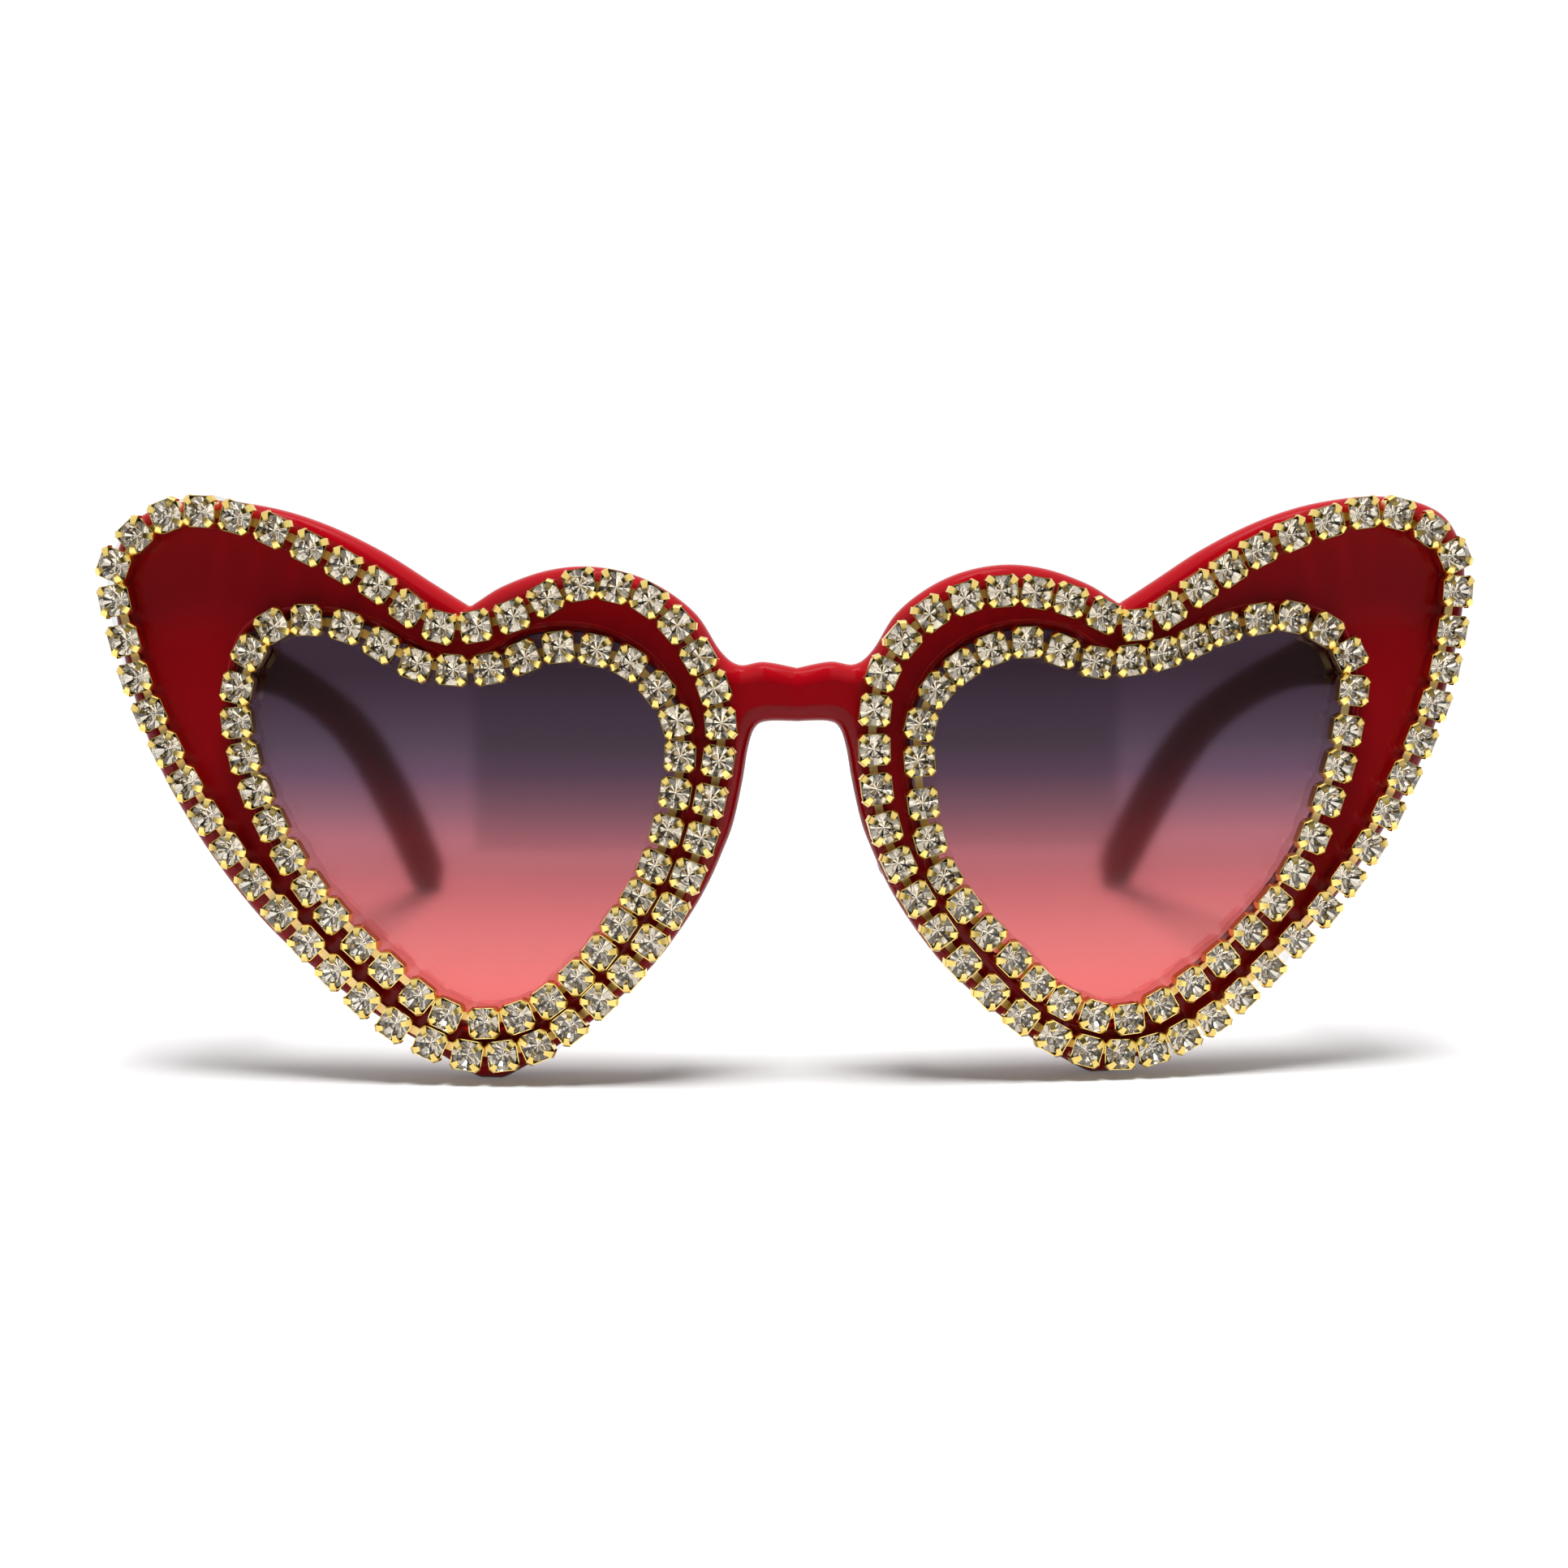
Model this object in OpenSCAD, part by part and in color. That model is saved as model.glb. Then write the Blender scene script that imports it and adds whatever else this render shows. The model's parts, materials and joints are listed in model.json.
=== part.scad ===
// Heart shaped sunglasses with two rows of cup chain glued round each lens.
// The front stands upright on the lowest points of its two rims and faces -Y.
// The temples run back along +Y, slope down and stand on their tips.
// A side's pieces are drawn on its plate: s runs outwards from the bridge, z up,
// and lift is the height in front of the plate's face.

/* [Front] */
// Width of the front from tip to tip, along its two plates
front_w = 150; // [140:1:160]
// Height of the front
front_h = 63.5; // [60:0.5:68]
// Thickness of the front
front_t = 4; // [3.6:0.1:4.6]
// Angle by which each heart turns back from the bridge
wrap = 6; // [0:0.5:7]

/* [Lenses] */
// Thickness of a lens
lens_t = 1.8; // [1.2:0.1:2.2]
// Depth of the groove that holds a lens
groove_d = 0.6; // [0.3:0.1:1]
// Clearance of a lens in its groove
lens_gap = 0.05; // [0.02:0.01:0.1]

/* [Cup chain] */
// Diameter of a stone
stone_d = 3.1; // [2.7:0.1:3.2]
// Height of a stone's pavilion, below its girdle
pavilion_h = 1.25; // [1:0.05:1.4]
// Height of a stone's girdle
girdle_h = 0.2; // [0.1:0.05:0.3]
// Height of a stone's crown, above its girdle
crown_h = 0.6; // [0.4:0.05:0.8]
// Width of a cup across its flats
cup_w = 3.36; // [3.3:0.02:3.4]
// Thickness of a cup's floor
cup_floor = 0.3; // [0.2:0.05:0.4]
// Clearance of a stone in its cup
seat_gap = 0.04; // [0.02:0.01:0.06]
// Width of a prong
prong_w = 0.7; // [0.5:0.05:0.8]
// Thickness of a prong
prong_t = 0.25; // [0.15:0.05:0.3]
// Width of the strip that links two cups
link_w = 0.9; // [0.6:0.1:1.2]
// Thickness of that strip
link_t = 0.25; // [0.15:0.05:0.3]
// Width of the glue under a chain
glue_w = 2.4; // [1.6:0.1:2.8]
// Thickness of the glue under a chain
glue_t = 0.25; // [0.1:0.05:0.3]
// Clearance between the glue on a lens and the rim
glue_gap = 0.05; // [0.02:0.01:0.1]

/* [Temples] */
// Reach of a temple behind the front, along Y
temple_l = 130; // [120:1:140]
// Height of a temple at its hinge
temple_h = 10.5; // [9:0.5:12]
// Thickness of a temple at its hinge
temple_t = 4.2; // [3.6:0.1:4.8]
// Height of the hinge's middle above the surface
hinge_z = 48; // [46:0.5:50]
// How far in from the wing's tip the middle of a temple stands
temple_inset = 7.6; // [7:0.1:10]
// How far a temple leans in between its hinge and its tip
temple_lean = 7.4; // [3:0.1:12]

/* [Hinges] */
// Radius of a hinge knuckle
knuckle_r = 1.6; // [1.3:0.1:1.7]
// Height of a temple leaf's knuckle
knuckle_h = 2.4; // [1.8:0.1:3]
// Height of a whole hinge
hinge_h = 6.8; // [6:0.2:8]
// Diameter of a hinge screw
screw_d = 1.4; // [1:0.1:1.6]
// Radial running clearance of a temple's knuckle on its screw
screw_gap = 0.05; // [0.02:0.01:0.08]
// Clearance between knuckles
knuckle_gap = 0.1; // [0.05:0.05:0.2]
// Thickness of a hinge leaf
leaf_t = 0.9; // [0.7:0.1:1.1]
// Length of the leaf in a temple
temple_leaf_l = 14; // [10:1:18]
// Diameter of a screw's head
head_d = 2.6; // [2:0.1:3]
// Height of a screw's head
head_h = 0.8; // [0.5:0.1:1]

/* [Nose pads] */
// Radius of a moulded nose pad
pad_r = 2; // [1.8:0.1:2.2]
// Length of a pad between its rounded ends
pad_l = 11; // [8:0.5:13]
// How far a pad's middle stands behind the front
pad_back = 1.2; // [1:0.1:1.6]
// Lean of a pad away from the nose
pad_lean = 14; // [8:1:20]

/* [Hidden] */

// Outline of one half of the front, from the bridge's notch over the wing to the
// bridge's underside, in shares of the half width and of the height
front_shares = [
    [0, 0.712], [0.050, 0.723], [0.086, 0.718], [0.113, 0.742], [0.146, 0.802],
    [0.193, 0.846], [0.247, 0.874], [0.307, 0.885], [0.367, 0.877], [0.427, 0.852],
    [0.464, 0.826], [0.475, 0.819], [0.486, 0.825], [0.533, 0.860], [0.600, 0.910],
    [0.680, 0.956], [0.760, 0.986], [0.847, 1.000], [0.913, 0.994], [0.962, 0.970],
    [0.990, 0.926], [1.000, 0.874], [0.999, 0.803], [0.987, 0.717], [0.971, 0.640],
    [0.948, 0.557], [0.911, 0.469], [0.856, 0.367], [0.787, 0.265], [0.709, 0.181],
    [0.627, 0.109], [0.553, 0.056], [0.503, 0.020], [0.470, 0], [0.440, 0],
    [0.412, 0.016], [0.372, 0.045], [0.304, 0.103], [0.256, 0.152], [0.215, 0.200],
    [0.180, 0.253], [0.152, 0.303], [0.130, 0.350], [0.112, 0.398], [0.096, 0.447],
    [0.082, 0.520], [0.074, 0.575], [0.064, 0.610], [0.046, 0.622], [0, 0.622]
];
// Outline of a lens opening, in the same shares
opening_shares = [
    [0.839, 0.654], [0.832, 0.724], [0.811, 0.783], [0.768, 0.816], [0.707, 0.827],
    [0.643, 0.819], [0.584, 0.794], [0.533, 0.761], [0.489, 0.739], [0.445, 0.756],
    [0.397, 0.789], [0.340, 0.800], [0.277, 0.791], [0.217, 0.756], [0.173, 0.701],
    [0.147, 0.630], [0.143, 0.551], [0.156, 0.457], [0.189, 0.346], [0.247, 0.243],
    [0.313, 0.153], [0.385, 0.094], [0.460, 0.074], [0.527, 0.092], [0.600, 0.157],
    [0.680, 0.247], [0.755, 0.361], [0.808, 0.482], [0.831, 0.567]
];
// Where every second stone of each chain sits, in the same shares; the chains were
// laid by hand, so the two sides differ a little
outer_left_shares = [
    [0.980, 0.890], [0.901, 0.972], [0.799, 0.969], [0.695, 0.917], [0.597, 0.855],
    [0.508, 0.785], [0.403, 0.802], [0.306, 0.854], [0.208, 0.828], [0.138, 0.734],
    [0.107, 0.623], [0.123, 0.494], [0.156, 0.365], [0.211, 0.252], [0.286, 0.150],
    [0.378, 0.070], [0.481, 0.052], [0.587, 0.105], [0.674, 0.195], [0.752, 0.297],
    [0.825, 0.405], [0.885, 0.519], [0.935, 0.637], [0.969, 0.764]
];
inner_left_shares = [
    [0.637, 0.241], [0.709, 0.338], [0.764, 0.448], [0.800, 0.562], [0.808, 0.682],
    [0.753, 0.786], [0.645, 0.785], [0.545, 0.722], [0.440, 0.714], [0.338, 0.750],
    [0.237, 0.723], [0.171, 0.626], [0.174, 0.505], [0.205, 0.380], [0.256, 0.280],
    [0.320, 0.188], [0.406, 0.118], [0.512, 0.120]
];
outer_right_shares = [
    [0.118, 0.705], [0.187, 0.803], [0.290, 0.841], [0.388, 0.824], [0.486, 0.782],
    [0.579, 0.843], [0.667, 0.906], [0.770, 0.955], [0.874, 0.969], [0.962, 0.896],
    [0.961, 0.768], [0.938, 0.642], [0.894, 0.517], [0.843, 0.396], [0.776, 0.288],
    [0.692, 0.186], [0.610, 0.102], [0.520, 0.050], [0.420, 0.051], [0.322, 0.114],
    [0.236, 0.212], [0.168, 0.324], [0.121, 0.445], [0.106, 0.578]
];
inner_right_shares = [
    [0.174, 0.618], [0.233, 0.714], [0.328, 0.755], [0.430, 0.720], [0.530, 0.733],
    [0.620, 0.775], [0.722, 0.793], [0.810, 0.728], [0.808, 0.597], [0.781, 0.476],
    [0.736, 0.352], [0.666, 0.249], [0.580, 0.162], [0.485, 0.103], [0.386, 0.135],
    [0.312, 0.213], [0.238, 0.309], [0.188, 0.421]
];
// Where the lower end of a nose pad is, in the same shares
pad_share = [0.152, 0.37];
// Stones in each chain
outer_count = 48;
inner_count = 37;

// A temple's middle line and section: shares of its reach, of the hinge's height,
// of its height and of its thickness at the hinge
temple_shares = [
    [0, 1.000, 1.00, 1.00], [0.06, 0.980, 0.97, 1.00], [0.135, 0.953, 0.84, 0.95],
    [0.266, 0.902, 0.72, 0.88], [0.381, 0.842, 0.66, 0.84], [0.489, 0.769, 0.63, 0.82],
    [0.589, 0.682, 0.63, 0.80], [0.674, 0.583, 0.63, 0.80], [0.751, 0.473, 0.63, 0.80],
    [0.828, 0.350, 0.63, 0.80], [0.905, 0.216, 0.62, 0.80], [0.990, 0.062, 0.59, 0.78]
];
// Share of the reach over which a temple runs straight back from its hinge
straight_share = 0.13;
// Share of a temple's section left flat between its rounded edges
flat_share = 0.45;

// Round parts
$fn = 48;
// Points between two points of an outline
outline_steps = 3;
// Points between two stones, for the glue's outline
glue_steps = 3;
// Facets on each rounded end of a pad
pad_steps = 3;
// Overrun of every cut
over = 1;

half_w = front_w / 2;
temple_mid_x = half_w - temple_inset;
outer_base = glue_t + link_t;
// The lens lies below the face by as much as the glue and links are thick
lens_lift = -outer_base;
cup_h = cup_floor + pavilion_h;
chain_h = cup_h + girdle_h + crown_h;
table_r = stone_d * 0.29;
culet_r = stone_d * 0.05;
cup_corner = cup_w * 0.17;

hinge_x = temple_mid_x - temple_t / 2 - leaf_t;
boss_y = (temple_mid_x + temple_t / 2) * sin(wrap) + front_t * cos(wrap) + leaf_t;
butt_gap = 0.2;
butt_y = boss_y + butt_gap;
hinge_y = boss_y + knuckle_r + leaf_t;
notch_gap = 0.4;
boss_h = temple_h;
proud = outer_base + chain_h;

// A point on the smooth curve through b and c, t of the way between them
function curve_at(a, b, c, d, t) =
    (2 * b + (c - a) * t + (2 * a - 5 * b + 4 * c - d) * t * t
     + (3 * b - 3 * c + d - a) * t * t * t) / 2;
// A smooth closed curve through points
function smooth_loop(p, steps) = let (n = len(p)) [
    for (i = [0 : n - 1], k = [0 : steps - 1])
        curve_at(p[(i + n - 1) % n], p[i], p[(i + 1) % n], p[(i + 2) % n], k / steps)
];
// A smooth open curve through points
function smooth_line(p, steps) = let (n = len(p)) concat([
    for (i = [0 : n - 2], k = [0 : steps - 1])
        curve_at(p[max(i - 1, 0)], p[i], p[i + 1], p[min(i + 2, n - 1)], k / steps)
], [p[n - 1]]);
// Shares of the half front as millimetres
function on_front(shares) = [for (q = shares) [q[0] * half_w, q[1] * front_h]];
function unit(v) = v / norm(v);
// A closed clockwise or anticlockwise outline, moved sideways by d
function moved(p, d) = let (n = len(p)) [
    for (i = [0 : n - 1])
        let (t = unit(p[(i + 1) % n] - p[(i + n - 1) % n])) p[i] + d * [t[1], -t[0]]
];
// Place of stone i of a chain of n stones, at knots that mark every second one
function stone_place(knots, i, n) =
    let (
        m = len(knots),
        j = i % n,
        k = min(floor(j / 2), m - 1),
        span = k == m - 1 ? n - 2 * (m - 1) : 2
    )
    curve_at(knots[(k + m - 1) % m], knots[k], knots[(k + 1) % m], knots[(k + 2) % m],
             (j - 2 * k) / span);
// Direction of the chain at stone i
function stone_angle(knots, i, n) =
    let (d = stone_place(knots, i + 0.5, n) - stone_place(knots, i + n - 0.5, n))
    atan2(d[1], d[0]);

outer_left = on_front(outer_left_shares);
inner_left = on_front(inner_left_shares);
outer_right = on_front(outer_right_shares);
inner_right = on_front(inner_right_shares);
opening = smooth_loop(on_front(opening_shares), outline_steps);
bridge_top = front_shares[0][1] * front_h;
bridge_under = front_shares[len(front_shares) - 1][1] * front_h;
half_outline = concat(
    [[-front_t, bridge_under], [-front_t, bridge_top]],
    [for (q = smooth_line(on_front(front_shares), outline_steps)) [q[0], max(q[1], 0)]]
);

// Stations of a temple: place of the middle, half height and half thickness
temple_line = smooth_line(
    [for (q = temple_shares) [q[0] * temple_l, q[1] * hinge_z, q[2] * temple_h / 2, q[3] * temple_t / 2]],
    outline_steps
);
// Middle of a temple from the middle of the part, at a distance behind its hinge
function temple_x(y) = temple_mid_x
    - temple_lean * max(0, y / temple_l - straight_share) / (1 - straight_share);
// Direction of the middle line at station i
function temple_dir(i) =
    let (p = temple_line, n = len(p), a = p[max(i - 1, 0)], b = p[min(i + 1, n - 1)])
    i == 0 ? [1, 0] : unit([b[0] - a[0], b[1] - a[1]]);
// A ring of a temple: middle (y, z), direction, half height and half thickness
function temple_ring(y, z, dir, h, t) =
    let (f = flat_share, c = 0.7 + 0.3 * f)
    [for (q = [[f, 1], [c, c], [1, f], [1, -f], [c, -c], [f, -1],
               [-f, -1], [-c, -c], [-1, -f], [-1, f], [-c, c], [-f, 1]])
        [temple_x(y) + q[0] * t, butt_y + y - dir[1] * q[1] * h, z + dir[0] * q[1] * h]];
cap_rings = 4;
temple_rings = let (
    n = len(temple_line),
    last = temple_line[n - 1],
    d = temple_dir(n - 1)
) concat(
    [for (i = [0 : n - 1])
        let (p = temple_line[i]) temple_ring(p[0], p[1], temple_dir(i), p[2], p[3])],
    [for (k = [1 : cap_rings])
        let (a = 85 * k / cap_rings, r = last[2])
        temple_ring(last[0] + d[0] * r * sin(a), last[1] + d[1] * r * sin(a), d,
                    r * cos(a), last[3] * cos(a))]
);

// Foremost and rearmost places of the part, and the middle between them
front_y = min([for (q = outer_left) q[0] - table_r]) * sin(wrap) - proud * cos(wrap);
back_y = max([for (ring = temple_rings, q = ring) q[1]]);
mid_y = (front_y + back_y) / 2;

// Puts the whole part with its origin under its middle
module placed() {
    translate([0, -mid_y, 0]) children();
}

// Draws children on the right plate: x is s, y is z and z is lift
module right_plate() {
    placed() rotate([0, 0, wrap]) rotate([90, 0, 0]) children();
}

module left_plate() {
    mirror([1, 0, 0]) right_plate() children();
}

// One half of the front: a plate with a lens opening and its groove, cut off in
// the middle
module half_plate() {
    n = len(half_outline);
    difference() {
        intersection() {
            right_plate() translate([0, 0, -front_t]) linear_extrude(front_t) polygon(
                concat(half_outline, opening),
                [[for (i = [0 : n - 1]) i], [for (i = [0 : len(opening) - 1]) n + i]]
            );
            placed() translate([0, -front_t - over, 0])
                cube([front_w, temple_l, front_h + over]);
        }
        right_plate() translate([0, 0, lens_lift - lens_t])
            linear_extrude(lens_t) polygon(moved(opening, groove_d));
    }
}

// Flat seat for a hinge leaf on the back of the wing
module hinge_boss() {
    boss_w = temple_mid_x + temple_t / 2 - hinge_x + knuckle_r;
    difference() {
        placed() translate([hinge_x - knuckle_r, boss_y - 2 * leaf_t, hinge_z - boss_h / 2])
            cube([boss_w, 2 * leaf_t, boss_h]);
        placed() front_leaf_plate();
    }
}

// Nose pad moulded on the back of a rim, along its nose side
module nose_pad() {
    foot = on_front([pad_share])[0];
    right_plate() translate([foot[0], foot[1], -front_t - pad_back])
        rotate([-90, 0, pad_lean]) rotate_extrude() polygon(concat(
            [for (a = [-90 : 90 / pad_steps : 0]) [pad_r * cos(a), pad_r * sin(a)]],
            [for (a = [0 : 90 / pad_steps : 90]) [pad_r * cos(a), pad_l + pad_r * sin(a)]]
        ));
}

module half_front() {
    half_plate();
    hinge_boss();
    nose_pad();
}

module front_frame() {
    color([0.45, 0.03, 0.05]) {
        half_front();
        mirror([1, 0, 0]) half_front();
    }
}

module lens() {
    translate([0, 0, lens_lift - lens_t]) linear_extrude(lens_t)
        polygon(moved(opening, groove_d - lens_gap));
}

module lens_left() {
    color([0.55, 0.3, 0.4, 0.6]) left_plate() lens();
}

module lens_right() {
    color([0.55, 0.3, 0.4, 0.6]) right_plate() lens();
}

// A round brilliant from its culet at 0
module stone() {
    rotate_extrude() polygon([
        [0, 0], [culet_r, 0], [stone_d / 2, pavilion_h], [stone_d / 2, pavilion_h + girdle_h],
        [table_r, pavilion_h + girdle_h + crown_h], [0, pavilion_h + girdle_h + crown_h]
    ]);
}

// A square cup with its seat and four prongs that reach over the stone's crown
module cup() {
    w = cup_w / 2;
    c = w - cup_corner;
    corner_r = norm([w, c]);
    rim_r = stone_d / 2 + seat_gap;
    tip_r = (stone_d / 2 + table_r) / 2;
    tip_z = cup_h + girdle_h + crown_h / 2;
    difference() {
        linear_extrude(cup_h) polygon([
            [w, -c], [w, c], [c, w], [-c, w], [-w, c], [-w, -c], [-c, -w], [c, -w]
        ]);
        translate([0, 0, cup_floor])
            cylinder(h = pavilion_h, r1 = culet_r + seat_gap, r2 = rim_r);
        translate([0, 0, cup_h - seat_gap]) cylinder(h = over, r = rim_r);
    }
    for (a = [45 : 90 : 315])
        rotate([0, 0, a]) rotate([90, 0, 0]) translate([0, 0, -prong_w / 2])
            linear_extrude(prong_w) polygon([
                [rim_r, cup_h - prong_t], [corner_r, cup_h - prong_t],
                [corner_r, cup_h + girdle_h], [tip_r + prong_t, tip_z + prong_t + seat_gap],
                [tip_r, tip_z + seat_gap], [rim_r, cup_h + girdle_h + seat_gap]
            ]);
}

module cups(knots, n, base) {
    for (i = [0 : n - 1])
        translate(concat(stone_place(knots, i, n), base))
            rotate([0, 0, stone_angle(knots, i, n)]) cup();
}

module stones(knots, n, base) {
    for (i = [0 : n - 1])
        translate(concat(stone_place(knots, i, n), base + cup_floor))
            rotate([0, 0, stone_angle(knots, i, n)]) stone();
}

// Strips that run on under each pair of neighbouring cups
module links(knots, n, base) {
    for (i = [0 : n - 1]) {
        a = stone_place(knots, i, n);
        b = stone_place(knots, i + 1, n);
        l = norm(b - a) - link_w;
        translate(concat((a + b) / 2, base))
            rotate([0, 0, atan2(b[1] - a[1], b[0] - a[0])])
                translate([-l / 2, -link_w / 2, 0]) cube([l, link_w, link_t]);
    }
}

// Bed of clear glue that a chain lies in
module glue(knots, n, base) {
    path = [for (i = [0 : n * glue_steps - 1]) stone_place(knots, i / glue_steps, n)];
    m = len(path);
    translate([0, 0, base]) linear_extrude(glue_t) polygon(
        concat(moved(path, glue_w / 2), moved(path, -glue_w / 2)),
        [[for (i = [0 : m - 1]) i], [for (i = [0 : m - 1]) m + i]]
    );
}

// The bed of a chain on a lens, kept inside the lens opening
module lens_glue(knots, n) {
    intersection() {
        glue(knots, n, lens_lift);
        translate([0, 0, lens_lift - over]) linear_extrude(glue_t + 2 * over)
            polygon(moved(opening, -glue_gap));
    }
}

module outer_glue_left() {
    color([0.8, 0.8, 0.75, 0.4]) left_plate() glue(outer_left, outer_count, 0);
}

module outer_links_left() {
    color([0.85, 0.65, 0.25]) left_plate() links(outer_left, outer_count, glue_t);
}

module outer_cups_left() {
    color([0.9, 0.7, 0.2]) left_plate() cups(outer_left, outer_count, outer_base);
}

module outer_stones_left() {
    color([0.9, 0.92, 0.95]) left_plate() stones(outer_left, outer_count, outer_base);
}

module inner_glue_left() {
    color([0.8, 0.8, 0.75, 0.4]) left_plate() lens_glue(inner_left, inner_count);
}

module inner_links_left() {
    color([0.85, 0.65, 0.25]) left_plate() links(inner_left, inner_count, lens_lift + glue_t);
}

module inner_cups_left() {
    color([0.9, 0.7, 0.2]) left_plate() cups(inner_left, inner_count, 0);
}

module inner_stones_left() {
    color([0.9, 0.92, 0.95]) left_plate() stones(inner_left, inner_count, 0);
}

module outer_glue_right() {
    color([0.8, 0.8, 0.75, 0.4]) right_plate() glue(outer_right, outer_count, 0);
}

module outer_links_right() {
    color([0.85, 0.65, 0.25]) right_plate() links(outer_right, outer_count, glue_t);
}

module outer_cups_right() {
    color([0.9, 0.7, 0.2]) right_plate() cups(outer_right, outer_count, outer_base);
}

module outer_stones_right() {
    color([0.9, 0.92, 0.95]) right_plate() stones(outer_right, outer_count, outer_base);
}

module inner_glue_right() {
    color([0.8, 0.8, 0.75, 0.4]) right_plate() lens_glue(inner_right, inner_count);
}

module inner_links_right() {
    color([0.85, 0.65, 0.25])
        right_plate() links(inner_right, inner_count, lens_lift + glue_t);
}

module inner_cups_right() {
    color([0.9, 0.7, 0.2]) right_plate() cups(inner_right, inner_count, 0);
}

module inner_stones_right() {
    color([0.9, 0.92, 0.95]) right_plate() stones(inner_right, inner_count, 0);
}

// The right temple, swept from its butt to its rounded tip
module temple() {
    m = 12;
    n = len(temple_rings);
    placed() difference() {
        polyhedron(
            [for (ring = temple_rings, q = ring) q],
            concat(
                [[for (i = [0 : m - 1]) m - 1 - i]],
                [for (k = [0 : n - 2], i = [0 : m - 1]) each [
                    [k * m + i, k * m + (i + 1) % m, (k + 1) * m + (i + 1) % m],
                    [k * m + i, (k + 1) * m + (i + 1) % m, (k + 1) * m + i]
                ]],
                [[for (i = [0 : m - 1]) (n - 1) * m + i]]
            )
        );
        hinge_notch();
        temple_leaf_plate(temple_t);
        translate([0, 0, -front_h]) cube([front_w, front_w + temple_l, front_h]);
    }
}

// Room for the hinge's knuckles at the temple's inner corner
module hinge_notch() {
    translate([hinge_x - temple_t, butt_y - over, hinge_z - temple_h])
        cube([temple_t + knuckle_r + notch_gap,
              hinge_y - butt_y + over + knuckle_r + notch_gap, 2 * temple_h]);
}

module temple_left() {
    color([0.4, 0.02, 0.04]) mirror([1, 0, 0]) temple();
}

module temple_right() {
    color([0.4, 0.02, 0.04]) temple();
}

// Plate of the leaf that is set in the front's boss
module front_leaf_plate() {
    translate([hinge_x - knuckle_r, boss_y - leaf_t, hinge_z - hinge_h / 2])
        cube([temple_t + knuckle_r, leaf_t, hinge_h]);
}

// Plate of the leaf that is set in the temple's inner face; for its seat it runs
// further in
module temple_leaf_plate(further = 0) {
    translate([hinge_x + leaf_t - further, hinge_y + knuckle_r + notch_gap,
               hinge_z - knuckle_h])
        cube([leaf_t + further, temple_leaf_l, 2 * knuckle_h]);
}

// One of the front leaf's two knuckles, with its web; z is its lower end
module front_knuckle(z, bore_d) {
    h = (hinge_h - knuckle_h) / 2 - knuckle_gap;
    difference() {
        union() {
            translate([hinge_x, hinge_y, z]) cylinder(h = h, r = knuckle_r);
            translate([hinge_x - knuckle_r, boss_y, z])
                cube([2 * knuckle_r, hinge_y - boss_y, h]);
        }
        translate([hinge_x, hinge_y, z - over]) cylinder(h = h + 2 * over, d = bore_d);
    }
}

module front_leaf() {
    placed() {
        front_leaf_plate();
        front_knuckle(hinge_z - hinge_h / 2, screw_d);
        front_knuckle(hinge_z + knuckle_h / 2 + knuckle_gap, screw_d + 2 * screw_gap);
    }
}

module temple_leaf() {
    placed() difference() {
        union() {
            translate([hinge_x, hinge_y, hinge_z - knuckle_h / 2])
                cylinder(h = knuckle_h, r = knuckle_r);
            translate([hinge_x + knuckle_r - leaf_t, hinge_y, hinge_z - knuckle_h / 2])
                cube([leaf_t, knuckle_r + notch_gap + leaf_t, knuckle_h]);
            temple_leaf_plate();
        }
        translate([hinge_x, hinge_y, hinge_z - hinge_h])
            cylinder(h = 2 * hinge_h, d = screw_d + 2 * screw_gap);
    }
}

module hinge_screw() {
    placed() translate([hinge_x, hinge_y, hinge_z - hinge_h / 2]) {
        cylinder(h = hinge_h, d = screw_d);
        translate([0, 0, hinge_h]) cylinder(h = head_h, d = head_d);
    }
}

module front_leaf_left() {
    color([0.8, 0.65, 0.3]) mirror([1, 0, 0]) front_leaf();
}

module front_leaf_right() {
    color([0.8, 0.65, 0.3]) front_leaf();
}

module temple_leaf_left() {
    color([0.8, 0.65, 0.3]) mirror([1, 0, 0]) temple_leaf();
}

module temple_leaf_right() {
    color([0.8, 0.65, 0.3]) temple_leaf();
}

module hinge_screw_left() {
    color([0.7, 0.7, 0.72]) mirror([1, 0, 0]) hinge_screw();
}

module hinge_screw_right() {
    color([0.7, 0.7, 0.72]) hinge_screw();
}

front_frame();
lens_left();
lens_right();
outer_glue_left();
outer_links_left();
outer_cups_left();
outer_stones_left();
inner_glue_left();
inner_links_left();
inner_cups_left();
inner_stones_left();
outer_glue_right();
outer_links_right();
outer_cups_right();
outer_stones_right();
inner_glue_right();
inner_links_right();
inner_cups_right();
inner_stones_right();
temple_left();
temple_right();
front_leaf_left();
front_leaf_right();
temple_leaf_left();
temple_leaf_right();
hinge_screw_left();
hinge_screw_right();
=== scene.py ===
"""Heart shaped sunglasses with rhinestone chains round their lenses.

Shapes are modelled in millimetres and put in place, in metres, when they are finished.
"""

import json
import math
import random

import bpy
from bpy.props import FloatProperty, FloatVectorProperty, IntProperty, PointerProperty
from mathutils import Matrix, Vector


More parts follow.
